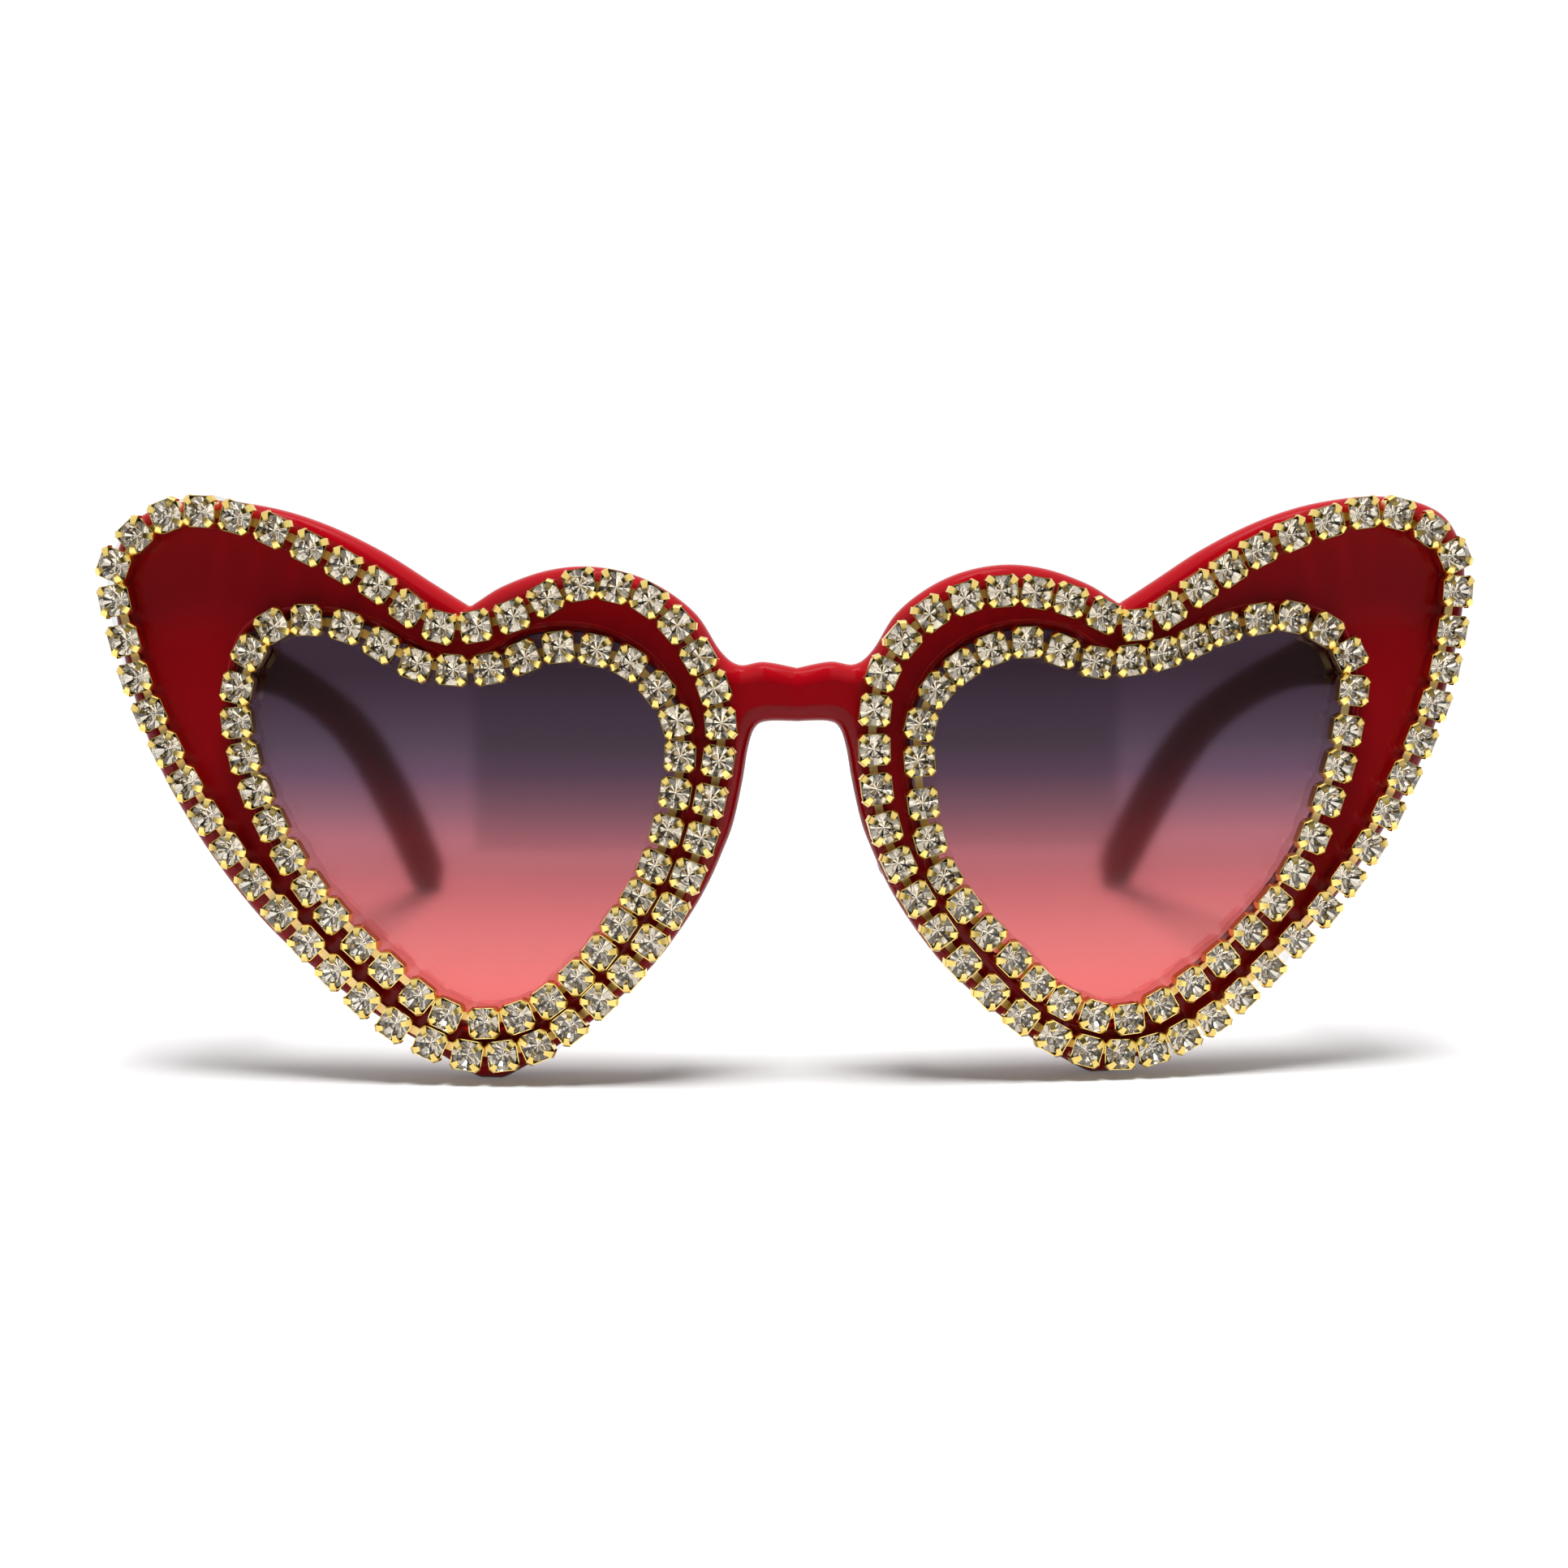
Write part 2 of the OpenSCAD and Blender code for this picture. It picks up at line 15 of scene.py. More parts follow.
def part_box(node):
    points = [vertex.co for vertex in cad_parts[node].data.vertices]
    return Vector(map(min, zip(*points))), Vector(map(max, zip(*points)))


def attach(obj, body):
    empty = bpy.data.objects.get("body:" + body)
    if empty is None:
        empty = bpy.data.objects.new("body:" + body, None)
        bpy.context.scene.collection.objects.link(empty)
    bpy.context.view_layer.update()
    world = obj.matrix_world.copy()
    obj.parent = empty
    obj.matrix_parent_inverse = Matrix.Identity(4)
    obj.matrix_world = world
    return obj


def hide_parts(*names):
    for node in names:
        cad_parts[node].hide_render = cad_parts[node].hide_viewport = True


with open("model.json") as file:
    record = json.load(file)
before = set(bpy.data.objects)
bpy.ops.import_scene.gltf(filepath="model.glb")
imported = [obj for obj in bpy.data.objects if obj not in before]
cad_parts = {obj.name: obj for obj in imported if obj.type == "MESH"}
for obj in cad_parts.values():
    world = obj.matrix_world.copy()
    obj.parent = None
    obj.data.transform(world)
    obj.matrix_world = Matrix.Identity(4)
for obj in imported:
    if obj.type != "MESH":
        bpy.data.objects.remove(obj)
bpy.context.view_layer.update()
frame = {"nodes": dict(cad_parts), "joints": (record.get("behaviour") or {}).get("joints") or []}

bl_info = {
    "name": "Heart Sunglasses",
    "version": (1, 0, 0),
    "blender": (4, 5, 0),
    "location": "View3D > Sidebar > Sunglasses",
    "description": "Builds a pair of heart shaped sunglasses with rhinestone chains",
    "category": "Add Mesh",
}

FRONT_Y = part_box("front_frame")[0].y

# Outline of one half of the front, from the bridge's notch over the wing to the
# bridge's underside, in shares of the half width and of the height
FRONT_SHARES = (
    (0, 0.712), (0.050, 0.723), (0.086, 0.718), (0.113, 0.742), (0.146, 0.802),
    (0.193, 0.846), (0.247, 0.874), (0.307, 0.885), (0.367, 0.877), (0.427, 0.852),
    (0.464, 0.826), (0.475, 0.819), (0.486, 0.825), (0.533, 0.860), (0.600, 0.910),
    (0.680, 0.956), (0.760, 0.986), (0.847, 1.000), (0.913, 0.994), (0.962, 0.970),
    (0.990, 0.926), (1.000, 0.874), (0.999, 0.803), (0.987, 0.717), (0.971, 0.640),
    (0.948, 0.557), (0.911, 0.469), (0.856, 0.367), (0.787, 0.265), (0.709, 0.181),
    (0.627, 0.109), (0.553, 0.056), (0.503, 0.020), (0.470, 0), (0.440, 0),
    (0.412, 0.016), (0.372, 0.045), (0.304, 0.103), (0.256, 0.152), (0.215, 0.200),
    (0.180, 0.253), (0.152, 0.303), (0.130, 0.350), (0.112, 0.398), (0.096, 0.447),
    (0.082, 0.520), (0.074, 0.575), (0.064, 0.610), (0.046, 0.622), (0, 0.622),
)
# Outline of a lens opening, in the same shares
OPENING_SHARES = (
    (0.839, 0.654), (0.832, 0.724), (0.811, 0.783), (0.768, 0.816), (0.707, 0.827),
    (0.643, 0.819), (0.584, 0.794), (0.533, 0.761), (0.489, 0.739), (0.445, 0.756),
    (0.397, 0.789), (0.340, 0.800), (0.277, 0.791), (0.217, 0.756), (0.173, 0.701),
    (0.147, 0.630), (0.143, 0.551), (0.156, 0.457), (0.189, 0.346), (0.247, 0.243),
    (0.313, 0.153), (0.385, 0.094), (0.460, 0.074), (0.527, 0.092), (0.600, 0.157),
    (0.680, 0.247), (0.755, 0.361), (0.808, 0.482), (0.831, 0.567),
)
# Where every second stone of each chain sits, in the same shares, and how many
# stones the chain has
CHAINS = {
    "outer_left": (48, (
        (0.980, 0.890), (0.901, 0.972), (0.799, 0.969), (0.695, 0.917), (0.597, 0.855),
        (0.508, 0.785), (0.403, 0.802), (0.306, 0.854), (0.208, 0.828), (0.138, 0.734),
        (0.107, 0.623), (0.123, 0.494), (0.156, 0.365), (0.211, 0.252), (0.286, 0.150),
        (0.378, 0.070), (0.481, 0.052), (0.587, 0.105), (0.674, 0.195), (0.752, 0.297),
        (0.825, 0.405), (0.885, 0.519), (0.935, 0.637), (0.969, 0.764),
    )),
    "inner_left": (37, (
        (0.637, 0.241), (0.709, 0.338), (0.764, 0.448), (0.800, 0.562), (0.808, 0.682),
        (0.753, 0.786), (0.645, 0.785), (0.545, 0.722), (0.440, 0.714), (0.338, 0.750),
        (0.237, 0.723), (0.171, 0.626), (0.174, 0.505), (0.205, 0.380), (0.256, 0.280),
        (0.320, 0.188), (0.406, 0.118), (0.512, 0.120),
    )),
    "outer_right": (48, (
        (0.118, 0.705), (0.187, 0.803), (0.290, 0.841), (0.388, 0.824), (0.486, 0.782),
        (0.579, 0.843), (0.667, 0.906), (0.770, 0.955), (0.874, 0.969), (0.962, 0.896),
        (0.961, 0.768), (0.938, 0.642), (0.894, 0.517), (0.843, 0.396), (0.776, 0.288),
        (0.692, 0.186), (0.610, 0.102), (0.520, 0.050), (0.420, 0.051), (0.322, 0.114),
        (0.236, 0.212), (0.168, 0.324), (0.121, 0.445), (0.106, 0.578),
    )),
    "inner_right": (37, (
        (0.174, 0.618), (0.233, 0.714), (0.328, 0.755), (0.430, 0.720), (0.530, 0.733),
        (0.620, 0.775), (0.722, 0.793), (0.810, 0.728), (0.808, 0.597), (0.781, 0.476),
        (0.736, 0.352), (0.666, 0.249), (0.580, 0.162), (0.485, 0.103), (0.386, 0.135),
        (0.312, 0.213), (0.238, 0.309), (0.188, 0.421),
    )),
}
# A temple's middle line and section: shares of its reach, of the hinge's height,
# of its height and of its thickness at the hinge
TEMPLE_SHARES = (
    (0, 1.000, 1.00, 1.00), (0.06, 0.980, 0.97, 1.00), (0.135, 0.953, 0.82, 0.93),
    (0.266, 0.902, 0.52, 0.82), (0.381, 0.842, 0.45, 0.82), (0.489, 0.769, 0.48, 0.87),
    (0.589, 0.682, 0.53, 0.94), (0.674, 0.583, 0.58, 1.02), (0.751, 0.473, 0.62, 1.10),
    (0.828, 0.350, 0.65, 1.17), (0.905, 0.216, 0.66, 1.22), (0.990, 0.062, 0.62, 1.20),
)


# Settings

def length(name, default, description):
    return FloatProperty(name=name, default=default, description=description, unit="LENGTH")


def plain_number(name, default, description):
    return FloatProperty(name=name, default=default, description=description)


def colour_value(name, default, description):
    return FloatVectorProperty(
        name=name, default=default, description=description, size=3, subtype="COLOR")


class FrontSettings(bpy.types.PropertyGroup):
    width: length("Width", 0.15, "Width of the front along its two plates")
    height: length("Height", 0.0635, "Height of the front")
    thickness: length("Thickness", 0.004, "Thickness of the front")
    wrap: FloatProperty(
        name="Wrap", default=math.radians(6), subtype="ANGLE",
        description="Angle by which each heart turns back")
    rounding: length("Edge rounding", 0.0019, "Radius of the moulding's outer edges")
    lip: length("Lip", 0.00045, "Radius of the lips round the lens openings")
    slope: length("Slope", 0.0009, "Width of the slope from the lip down to the lens")
    lip_inset: length("Lip inset", 0.0007, "How far inside the packed opening the lip runs")
    bridge_round: length("Bridge rounding", 0.003, "Half width of the rounded middle of the bridge")
    pad_radius: length("Nose pad radius", 0.002, "Radius of a moulded nose pad")
    pad_length: length("Nose pad length", 0.011, "Length of a nose pad between its ends")
    colour: colour_value("Colour", (0.53, 0.004, 0.012), "Colour of the red moulding")
    shade: colour_value(
        "Darker colour", (0.43, 0.003, 0.008), "Colour in the moulding's darker clouds")


class ChainSettings(bpy.types.PropertyGroup):
    stone: length("Stone", 0.0033, "Diameter of a stone")
    pavilion: length("Pavilion", 0.00125, "Height of a stone below its girdle")
    girdle: length("Girdle", 0.0002, "Height of a stone's girdle")
    crown: length("Crown", 0.0006, "Height of a stone above its girdle")
    cup: length("Cup", 0.0034, "Width of a cup across its flats")
    floor: length("Cup floor", 0.0003, "Thickness of a cup's floor")
    prong: length("Prong", 0.00074, "Width of a prong")
    link: length("Link", 0.00025, "Thickness of a link strip")
    glue: length("Glue", 0.00025, "Thickness of the glue under a chain")
    glue_width: length("Glue width", 0.0041, "Mean width of the glue under a chain")
    gold: colour_value("Gold", (0.97, 0.72, 0.22), "Colour of the plating")
    crystal: colour_value("Crystal", (0.98, 0.97, 0.93), "Colour of the stones")
    seed: IntProperty(
        name="Seed", default=7, description="Seed of how the stones and cups lie")


class TempleSettings(bpy.types.PropertyGroup):
    reach: length("Reach", 0.13, "Reach of a temple behind the front")
    height: length("Height", 0.0105, "Height of a temple at its hinge")
    thickness: length("Thickness", 0.0042, "Thickness of a temple at its hinge")
    lean: length("Lean", 0.0074, "How far a temple leans in towards its tip")
    straight: FloatProperty(
        name="Straight share", default=0.13, subtype="FACTOR",
        description="Share of the reach that runs straight back")
    # The temples are the same red plastic as the front; their lighter colours are painted light, for
    # how the temples are lit behind the tinted lenses.
    colour: colour_value("Colour", (0.7, 0.004, 0.012), "Colour of the red temples")
    shade: colour_value(
        "Darker colour", (0.58, 0.003, 0.008), "Colour in the temples' darker clouds")
    screw: length("Screw", 0.0014, "Diameter of a hinge screw")
    screw_head: length("Screw head", 0.0026, "Diameter of a screw's head")


class StageSettings(bpy.types.PropertyGroup):
    top_light: plain_number("Top light", 11.0, "Power of the panel overhead in watts")
    room: plain_number("Room", 0.11, "Brightness of the tent's open front in reflections")
    walls: plain_number("Walls", 0.95, "Brightness of the tent's walls in reflections")
    fill: plain_number("Fill", 0.16, "Brightness of the tent's soft fill light")
    roof: plain_number("Roof", 2.5, "Brightness that the tent's roof adds in reflections")
    card: plain_number("Card", 0.77, "Brightness of the background's middle through the lenses")
    floor_glow: plain_number("Floor glow", 0.08, "Glow of the floor under the front")


class SunglassesSettings(bpy.types.PropertyGroup):
    front: PointerProperty(type=FrontSettings)
    chain: PointerProperty(type=ChainSettings)
    temple: PointerProperty(type=TempleSettings)
    stage: PointerProperty(type=StageSettings)


def settings():
    return bpy.context.scene.sunglasses


def mm(value):
    return value * 1000


# Lines and places

def curve_at(a, b, c, d, t):
    """A point on the smooth curve through b and c, t of the way between them."""
    return tuple(
        (2 * q + (r - p) * t + (2 * p - 5 * q + 4 * r - s) * t * t
         + (3 * q - 3 * r + s - p) * t ** 3) / 2
        for p, q, r, s in zip(a, b, c, d)
    )


def smooth_loop(points, steps):
    n = len(points)
    return [
        curve_at(points[i - 1], points[i], points[(i + 1) % n], points[(i + 2) % n], k / steps)
        for i in range(n) for k in range(steps)
    ]


def smooth_line(points, steps):
    last = len(points) - 1
    line = [
        curve_at(points[max(i - 1, 0)], points[i], points[i + 1], points[min(i + 2, last)], k / steps)
        for i in range(last) for k in range(steps)
    ]
    return [*line, tuple(points[-1])]


def moved(loop, out):
    """A closed line that runs the other way to the clock, moved outwards."""
    made = []
    for i, (x, y) in enumerate(loop):
        a, b = loop[i - 1], loop[(i + 1) % len(loop)]
        along = Vector((b[0] - a[0], b[1] - a[1])).normalized()
        made.append((x + out * along.y, y - out * along.x))
    return made


def on_front(shares):
    """Shares of the half front as millimetres."""
    front = settings().front
    half, height = mm(front.width) / 2, mm(front.height)
    return [(x * half, z * height) for x, z in shares]


def stone_place(chain, i):
    """Place of a chain's stone i, which may lie between two stones."""
    count, shares = CHAINS[chain]
    knots = on_front(shares)
    last = len(knots) - 1
    j = i % count
    k = min(int(j // 2), last)
    span = count - 2 * last if k == last else 2
    return curve_at(knots[k - 1], knots[k], knots[(k + 1) % len(knots)],
                    knots[(k + 2) % len(knots)], (j - 2 * k) / span)


def plate(side):
    """Puts a shape drawn on a side's plate (x outwards, y up, z towards the front,
    in millimetres) in its place. On the left plate x runs the other way."""
    turn = settings().front.wrap if side == "right" else -settings().front.wrap
    return (
        Matrix.Translation((0, FRONT_Y, 0)) @ Matrix.Rotation(turn, 4, "Z")
        @ Matrix.Rotation(math.pi / 2, 4, "X") @ Matrix.Scale(0.001, 4)
    )


def hinge_place(side):
    """Middle of a side's hinge in metres."""
    for joint in frame["joints"]:
        if side in joint["name"]:
            return Vector(joint["pos_m"])
    raise RuntimeError(f"no hinge on the {side}")


# Modelling steps

def deselect():
    if bpy.context.object and bpy.context.object.mode != "OBJECT":
        bpy.ops.object.mode_set(mode="OBJECT")
    bpy.ops.object.select_all(action="DESELECT")


def activate(obj):
    deselect()
    obj.select_set(True)
    bpy.context.view_layer.objects.active = obj


def apply_place():
    """Makes the selected objects' places, turns and scales part of their meshes."""
    bpy.ops.object.transform_apply(location=True, rotation=True, scale=True)


def select_where(obj, mode, kind, test):
    """Goes to edit mode with those elements of one kind selected that pass a test."""
    activate(obj)
    bpy.ops.object.mode_set(mode="EDIT")
    bpy.ops.mesh.select_mode(type=mode)
    bpy.ops.mesh.select_all(action="DESELECT")
    bpy.ops.object.mode_set(mode="OBJECT")
    for element in getattr(obj.data, kind):
        element.select = test(element)
    bpy.ops.object.mode_set(mode="EDIT")


def select_faces(obj, test):
    """Selects the faces whose middle and normal pass a test, in edit mode."""
    select_where(obj, "FACE", "polygons", lambda face: test(face.center, face.normal))


def select_edges(obj, test):
    """Selects the edges whose two ends pass a test, in edit mode."""
    select_where(obj, "EDGE", "edges",
                 lambda edge: test(*(obj.data.vertices[i].co for i in edge.vertices)))


def select_points(obj, test):
    """Selects the vertices whose place passes a test, in edit mode."""
    select_where(obj, "VERT", "vertices", lambda vertex: test(vertex.co))


def all_in_edit(obj):
    activate(obj)
    bpy.ops.object.mode_set(mode="EDIT")
    bpy.ops.mesh.select_all(action="SELECT")


def leave_edit():
    bpy.ops.object.mode_set(mode="OBJECT")


def weld(obj, distance=0.001):
    """Merges doubles and turns the faces outwards."""
    all_in_edit(obj)
    bpy.ops.mesh.remove_doubles(threshold=distance)
    bpy.ops.mesh.normals_make_consistent(inside=False)
    leave_edit()


def put(obj, matrix):
    """Moves an object, with its place going into its mesh."""
    obj.matrix_world = matrix @ obj.matrix_world
    activate(obj)
    apply_place()


def modify(obj, kind, **values):
    """Adds a modifier and applies it."""
    modifier = obj.modifiers.new(kind.title(), kind)
    for key, value in values.items():
        setattr(modifier, key, value)
    activate(obj)
    bpy.ops.object.modifier_apply(modifier=modifier.name)


def copied(obj, matrix):
    """A copy with a mesh of its own, moved by a matrix."""
    activate(obj)
    bpy.ops.object.duplicate(linked=False)
    made = bpy.context.object
    made.matrix_world = matrix @ made.matrix_world
    return made


def joined(objects, name):
    """One object out of several, with its place in its mesh."""
    deselect()
    for obj in objects:
        obj.select_set(True)
    bpy.context.view_layer.objects.active = objects[0]
    bpy.ops.object.join()
    made = bpy.context.object
    made.name = name
    made.data.name = name
    activate(made)
    apply_place()
    return made


def drop(obj):
    activate(obj)
    bpy.ops.object.delete()


def smooth(obj, degrees, weighted=False):
    """Shades an object smooth apart from its edges that are sharper than an angle."""
    activate(obj)
    bpy.ops.object.shade_smooth_by_angle(angle=math.radians(degrees))
    if weighted:
        modify(obj, "WEIGHTED_NORMAL", keep_sharp=True, weight=100)


def finish_piece(obj, name, body, nodes, slot, *materials):
    """Names a piece, gives it its materials, puts it under an empty for its body and hides the nodes
    it replaces. The slot is not used.
    """
    obj.name = name
    obj.data.name = name
    for material in materials:
        obj.data.materials.append(material)
    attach(obj, body)
    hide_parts(*nodes)


def curve_object(loops, flat):
    """A curve of closed lines, which the caller gives its section."""
    deselect()
    bpy.ops.curve.primitive_bezier_circle_add(radius=1)
    obj = bpy.context.object
    obj.data.splines.clear()
    obj.data.dimensions = "2D" if flat else "3D"
    for loop in loops:
        spline = obj.data.splines.new("POLY")
        spline.points.add(len(loop) - 1)
        for point, place in zip(spline.points, loop):
            point.co = (place[0], place[1], place[2] if len(place) > 2 else 0, 1)
        spline.use_cyclic_u = True
    return obj


def cube(middle, size):
    """A block, with its place and size not yet in its mesh."""
    deselect()
    bpy.ops.mesh.primitive_cube_add(size=1, location=middle, scale=size)
    return bpy.context.object


def cylinder(radius, depth, place):
    deselect()
    bpy.ops.mesh.primitive_cylinder_add(vertices=32, radius=radius, depth=depth, location=place)
    return bpy.context.object


def meshed(curve):
    """A curve turned into a mesh."""
    activate(curve)
    bpy.ops.object.convert(target="MESH")
    return bpy.context.object


# Materials

def set_inputs(node, inputs):
    """Gives a node's inputs their numbers, or other nodes' outputs."""
    for key, value in inputs.items():
        if isinstance(value, bpy.types.NodeSocket):
            node.id_data.links.new(value, node.inputs[key])
        else:
            node.inputs[key].default_value = value


def add_node(tree, kind, inputs=None, **properties):
    node = tree.nodes.new(kind)
    for key, value in properties.items():
        setattr(node, key, value)
    set_inputs(node, inputs or {})
    return node


def computed(tree, operation, *values, clamp=True):
    """Output of a math node, which is held between 0 and 1 unless clamp is off."""
    node = add_node(
        tree, "ShaderNodeMath", dict(enumerate(values)), operation=operation, use_clamp=clamp)
    return node.outputs[0]


def mapped(tree, value, low, high, to_low=0, to_high=1):
    """Output of a map range node, which goes from to_low at low to to_high at high."""
    node = add_node(tree, "ShaderNodeMapRange", {
        "Value": value, "From Min": low, "From Max": high, "To Min": to_low, "To Max": to_high})
    return node.outputs["Result"]


def blended(tree, factor, a, b):
    """Output of a mix of two colours."""
    node = add_node(tree, "ShaderNodeMix", {"Factor": factor, "A": a, "B": b}, data_type="RGBA")
    return node.outputs["Result"]


def places(tree, kind="Object"):
    """A texture coordinate and its X, Y and Z."""
    vector = add_node(tree, "ShaderNodeTexCoord").outputs[kind]
    return vector, add_node(tree, "ShaderNodeSeparateXYZ", {"Vector": vector}).outputs


def surface_finish():
    """Group: clouds of colour, uneven gloss and a fine orange-peel height."""
    name = "surface_finish"
    if name in bpy.data.node_groups:
        return bpy.data.node_groups[name]
    group = bpy.data.node_groups.new(name, "ShaderNodeTree")
    number, colour = "NodeSocketFloat", "NodeSocketColor"
    for label, kind, default in (
        ("Colour", colour, (0.5, 0.5, 0.5, 1)), ("Clouded Colour", colour, (0.4, 0.4, 0.4, 1)),
        ("Cloud Scale", number, 30), ("Grain Scale", number, 900),
        ("Roughness", number, 0.15), ("Unevenness", number, 0.1),
    ):
        socket = group.interface.new_socket(label, in_out="INPUT", socket_type=kind)
        socket.default_value = default
    for label, kind in (("Colour", colour), ("Roughness", number), ("Height", number)):
        group.interface.new_socket(label, in_out="OUTPUT", socket_type=kind)
    given = add_node(group, "NodeGroupInput").outputs
    place = add_node(group, "ShaderNodeTexCoord").outputs["Object"]
    clouds, grain = (
        add_node(group, "ShaderNodeTexNoise", {
            "Vector": place, "Scale": given[scale], "Detail": detail}).outputs["Fac"]
        for scale, detail in (("Cloud Scale", 3), ("Grain Scale", 2))
    )
    spread = computed(group, "SUBTRACT", clouds, 0.5, clamp=False)
    add_node(group, "NodeGroupOutput", {
        "Colour": blended(group, clouds, given["Colour"], given["Clouded Colour"]),
        "Roughness": computed(group, "MULTIPLY_ADD", spread, given["Unevenness"], given["Roughness"]),
        "Height": grain,
    })
    return group


def empty_material(name):
    material = bpy.data.materials.new(name)
    material.use_nodes = True
    material.node_tree.nodes.clear()
    return material


def bare_material(name):
    """A material with nothing but its shader, which is given too."""
    material = empty_material(name)
    shader = add_node(material.node_tree, "ShaderNodeBsdfPrincipled")
    add_node(material.node_tree, "ShaderNodeOutputMaterial", {"Surface": shader.outputs["BSDF"]})
    return material, shader


def finished(name, colour, clouded, cloud_scale, grain_scale, roughness, unevenness,
             bump=0.0, **sockets):
    """A material with the shared finish, and its shader, which has the sockets set on it."""
    material, shader = bare_material(name)
    tree = material.node_tree
    finish = add_node(tree, "ShaderNodeGroup", {
        "Colour": (*colour, 1), "Clouded Colour": (*clouded, 1), "Cloud Scale": cloud_scale,
        "Grain Scale": grain_scale, "Roughness": roughness, "Unevenness": unevenness,
    }, node_tree=surface_finish()).outputs
    set_inputs(shader, {"Base Color": finish["Colour"], "Roughness": finish["Roughness"]})
    if bump:
        relief = add_node(tree, "ShaderNodeBump", {
            "Strength": bump, "Distance": 0.00005, "Height": finish["Height"]})
        set_inputs(shader, {"Normal": relief.outputs["Normal"]})
    set_inputs(shader, {label.replace("_", " "): value for label, value in sockets.items()})
    return material, shader


def red_moulding():
    front = settings().front
    return finished("red_moulding", front.colour, front.shade, 22, 700, 0.06, 0.03,
                    bump=0.12, IOR=1.5, Specular_IOR_Level=0.13)[0]


def temple_moulding():
    # Lighter red than the front's: painted light on the front's own plastic.
    temple = settings().temple
    return finished("temple_moulding", temple.colour, temple.shade, 14, 600, 0.16, 0.08,
                    bump=0.12, IOR=1.5, Specular_IOR_Level=0.12)[0]


def gold_plating():
    gold = settings().chain.gold
    return finished("gold_plating", gold, [v * 0.85 for v in gold], 300, 4000, 0.22, 0.15,
                    bump=0.1, Metallic=1.0)[0]


def plain_metal(name):
    """The links' pale gold, the hinge leaves' brass or the screws' steel."""
    finishes = {
        "pale_gold_plating": ((0.86, 0.66, 0.32), (0.75, 0.5, 0.2), 250, 4000, 0.3, 0.2, 0.15),
        "rolled_brass": ((0.72, 0.52, 0.24), (0.55, 0.38, 0.17), 120, 2500, 0.3, 0.25, 0.2),
        "turned_steel": ((0.62, 0.62, 0.64), (0.5, 0.5, 0.52), 200, 3000, 0.25, 0.2, 0.15),
    }
    return finished(name, *finishes[name], Metallic=1.0)[0]


def cut_crystal():
    crystal = settings().chain.crystal
    return finished("cut_crystal", crystal, [v * 0.96 for v in crystal], 120, 3000, 0.01,
                    0.02, IOR=1.56, Transmission_Weight=1.0)[0]


def silver_foil():
    """Mirror behind a stone, with painted reflections: a value on each facet mixes its colour down to
    a dark one, painting the star of pale and dark wedges that reflections of the dim room would give.
    """
    material, shader = finished("silver_foil", (1, 0.945, 0.86), (0.95, 0.89, 0.8), 500, 5000,
                                0.08, 0.03, Metallic=1.0)
    tree = material.node_tree
    # Painted reflection: each facet's stored value darkens the foil towards a dark colour.
    tone = add_node(tree, "ShaderNodeAttribute", attribute_name="tone")
    colour = shader.inputs["Base Color"].links[0].from_socket
    dark = (0.05, 0.038, 0.03, 1)
    set_inputs(shader, {"Base Color": blended(tree, tone.outputs["Fac"], dark, colour)})
    return material


def glossy_glue():
    """Thin clear glue, seen by its gloss and by painted shade: a dark red-brown colour that grows
    opaque at its steep edges, in place of the darkening that refraction gives a clear bead there.
    """
    material, shader = finished("glossy_glue", (0.2, 0.03, 0.03), (0.3, 0.09, 0.05), 180, 1500,
                                0.05, 0.06, bump=0.3, IOR=1.46)
    tree = material.node_tree
    # Painted shade: the more steeply the bead is seen, the more its dark colour covers what lies
    # under it.
    facing = add_node(tree, "ShaderNodeLayerWeight", {"Blend": 0.3}).outputs["Facing"]
    set_inputs(shader, {"Alpha": mapped(tree, facing, 0, 1, 0.05, 0.6)})
    return material


def graded_tint():
    """Clear lens whose tint goes from dusky violet at the top to pink at the bottom."""
    material, shader = bare_material("graded_tint")
    tree = material.node_tree
    place, place_parts = places(tree)
    height = mapped(tree, place_parts["Z"], 0, settings().front.height)
    ramp = add_node(tree, "ShaderNodeValToRGB", {"Fac": height})
    tints = (
        (0.17, (0.657, 0.118, 0.113)), (0.25, (0.553, 0.113, 0.119)), (0.31, (0.474, 0.1085, 0.119)),
        (0.36, (0.385, 0.105, 0.12)), (0.42, (0.33, 0.109, 0.135)), (0.47, (0.21, 0.086, 0.116)),
        (0.53, (0.111, 0.0555, 0.093)), (0.58, (0.072, 0.045, 0.069)), (0.64, (0.06, 0.033, 0.056)),
        (0.71, (0.0385, 0.0195, 0.035)),
    )
    stops = ramp.color_ramp.elements
    while len(stops) < len(tints):
        stops.new(0.5)
    for stop, (where, colour) in zip(stops, tints):
        stop.position = where
        stop.color = (*colour, 1)
    smears = add_node(tree, "ShaderNodeTexNoise", {"Vector": place, "Scale": 60})
    set_inputs(shader, {
        "Base Color": ramp.outputs["Color"],
        "Roughness": mapped(tree, smears.outputs["Fac"], 0, 1, 0.08, 0.11),
        "IOR": 1.49,
        "Transmission Weight": 1.0,
    })
    return material


def seen_directly(tree, *labels):
    """1 for what the camera sees straight, in gloss or through glass, with nothing dull
    on the way, and 0 for the gloss of what stands behind a lens."""
    path = add_node(tree, "ShaderNodeLightPath").outputs
    total = 0
    for label in labels:
        flag = path[label]
        if label == "Is Glossy Ray":
            flag = computed(tree, "SUBTRACT", flag, path["Transmission Depth"])
        total = computed(tree, "ADD", total, flag)
    dull = computed(tree, "MINIMUM", path["Diffuse Depth"], 1)
    return computed(tree, "SUBTRACT", total, dull)


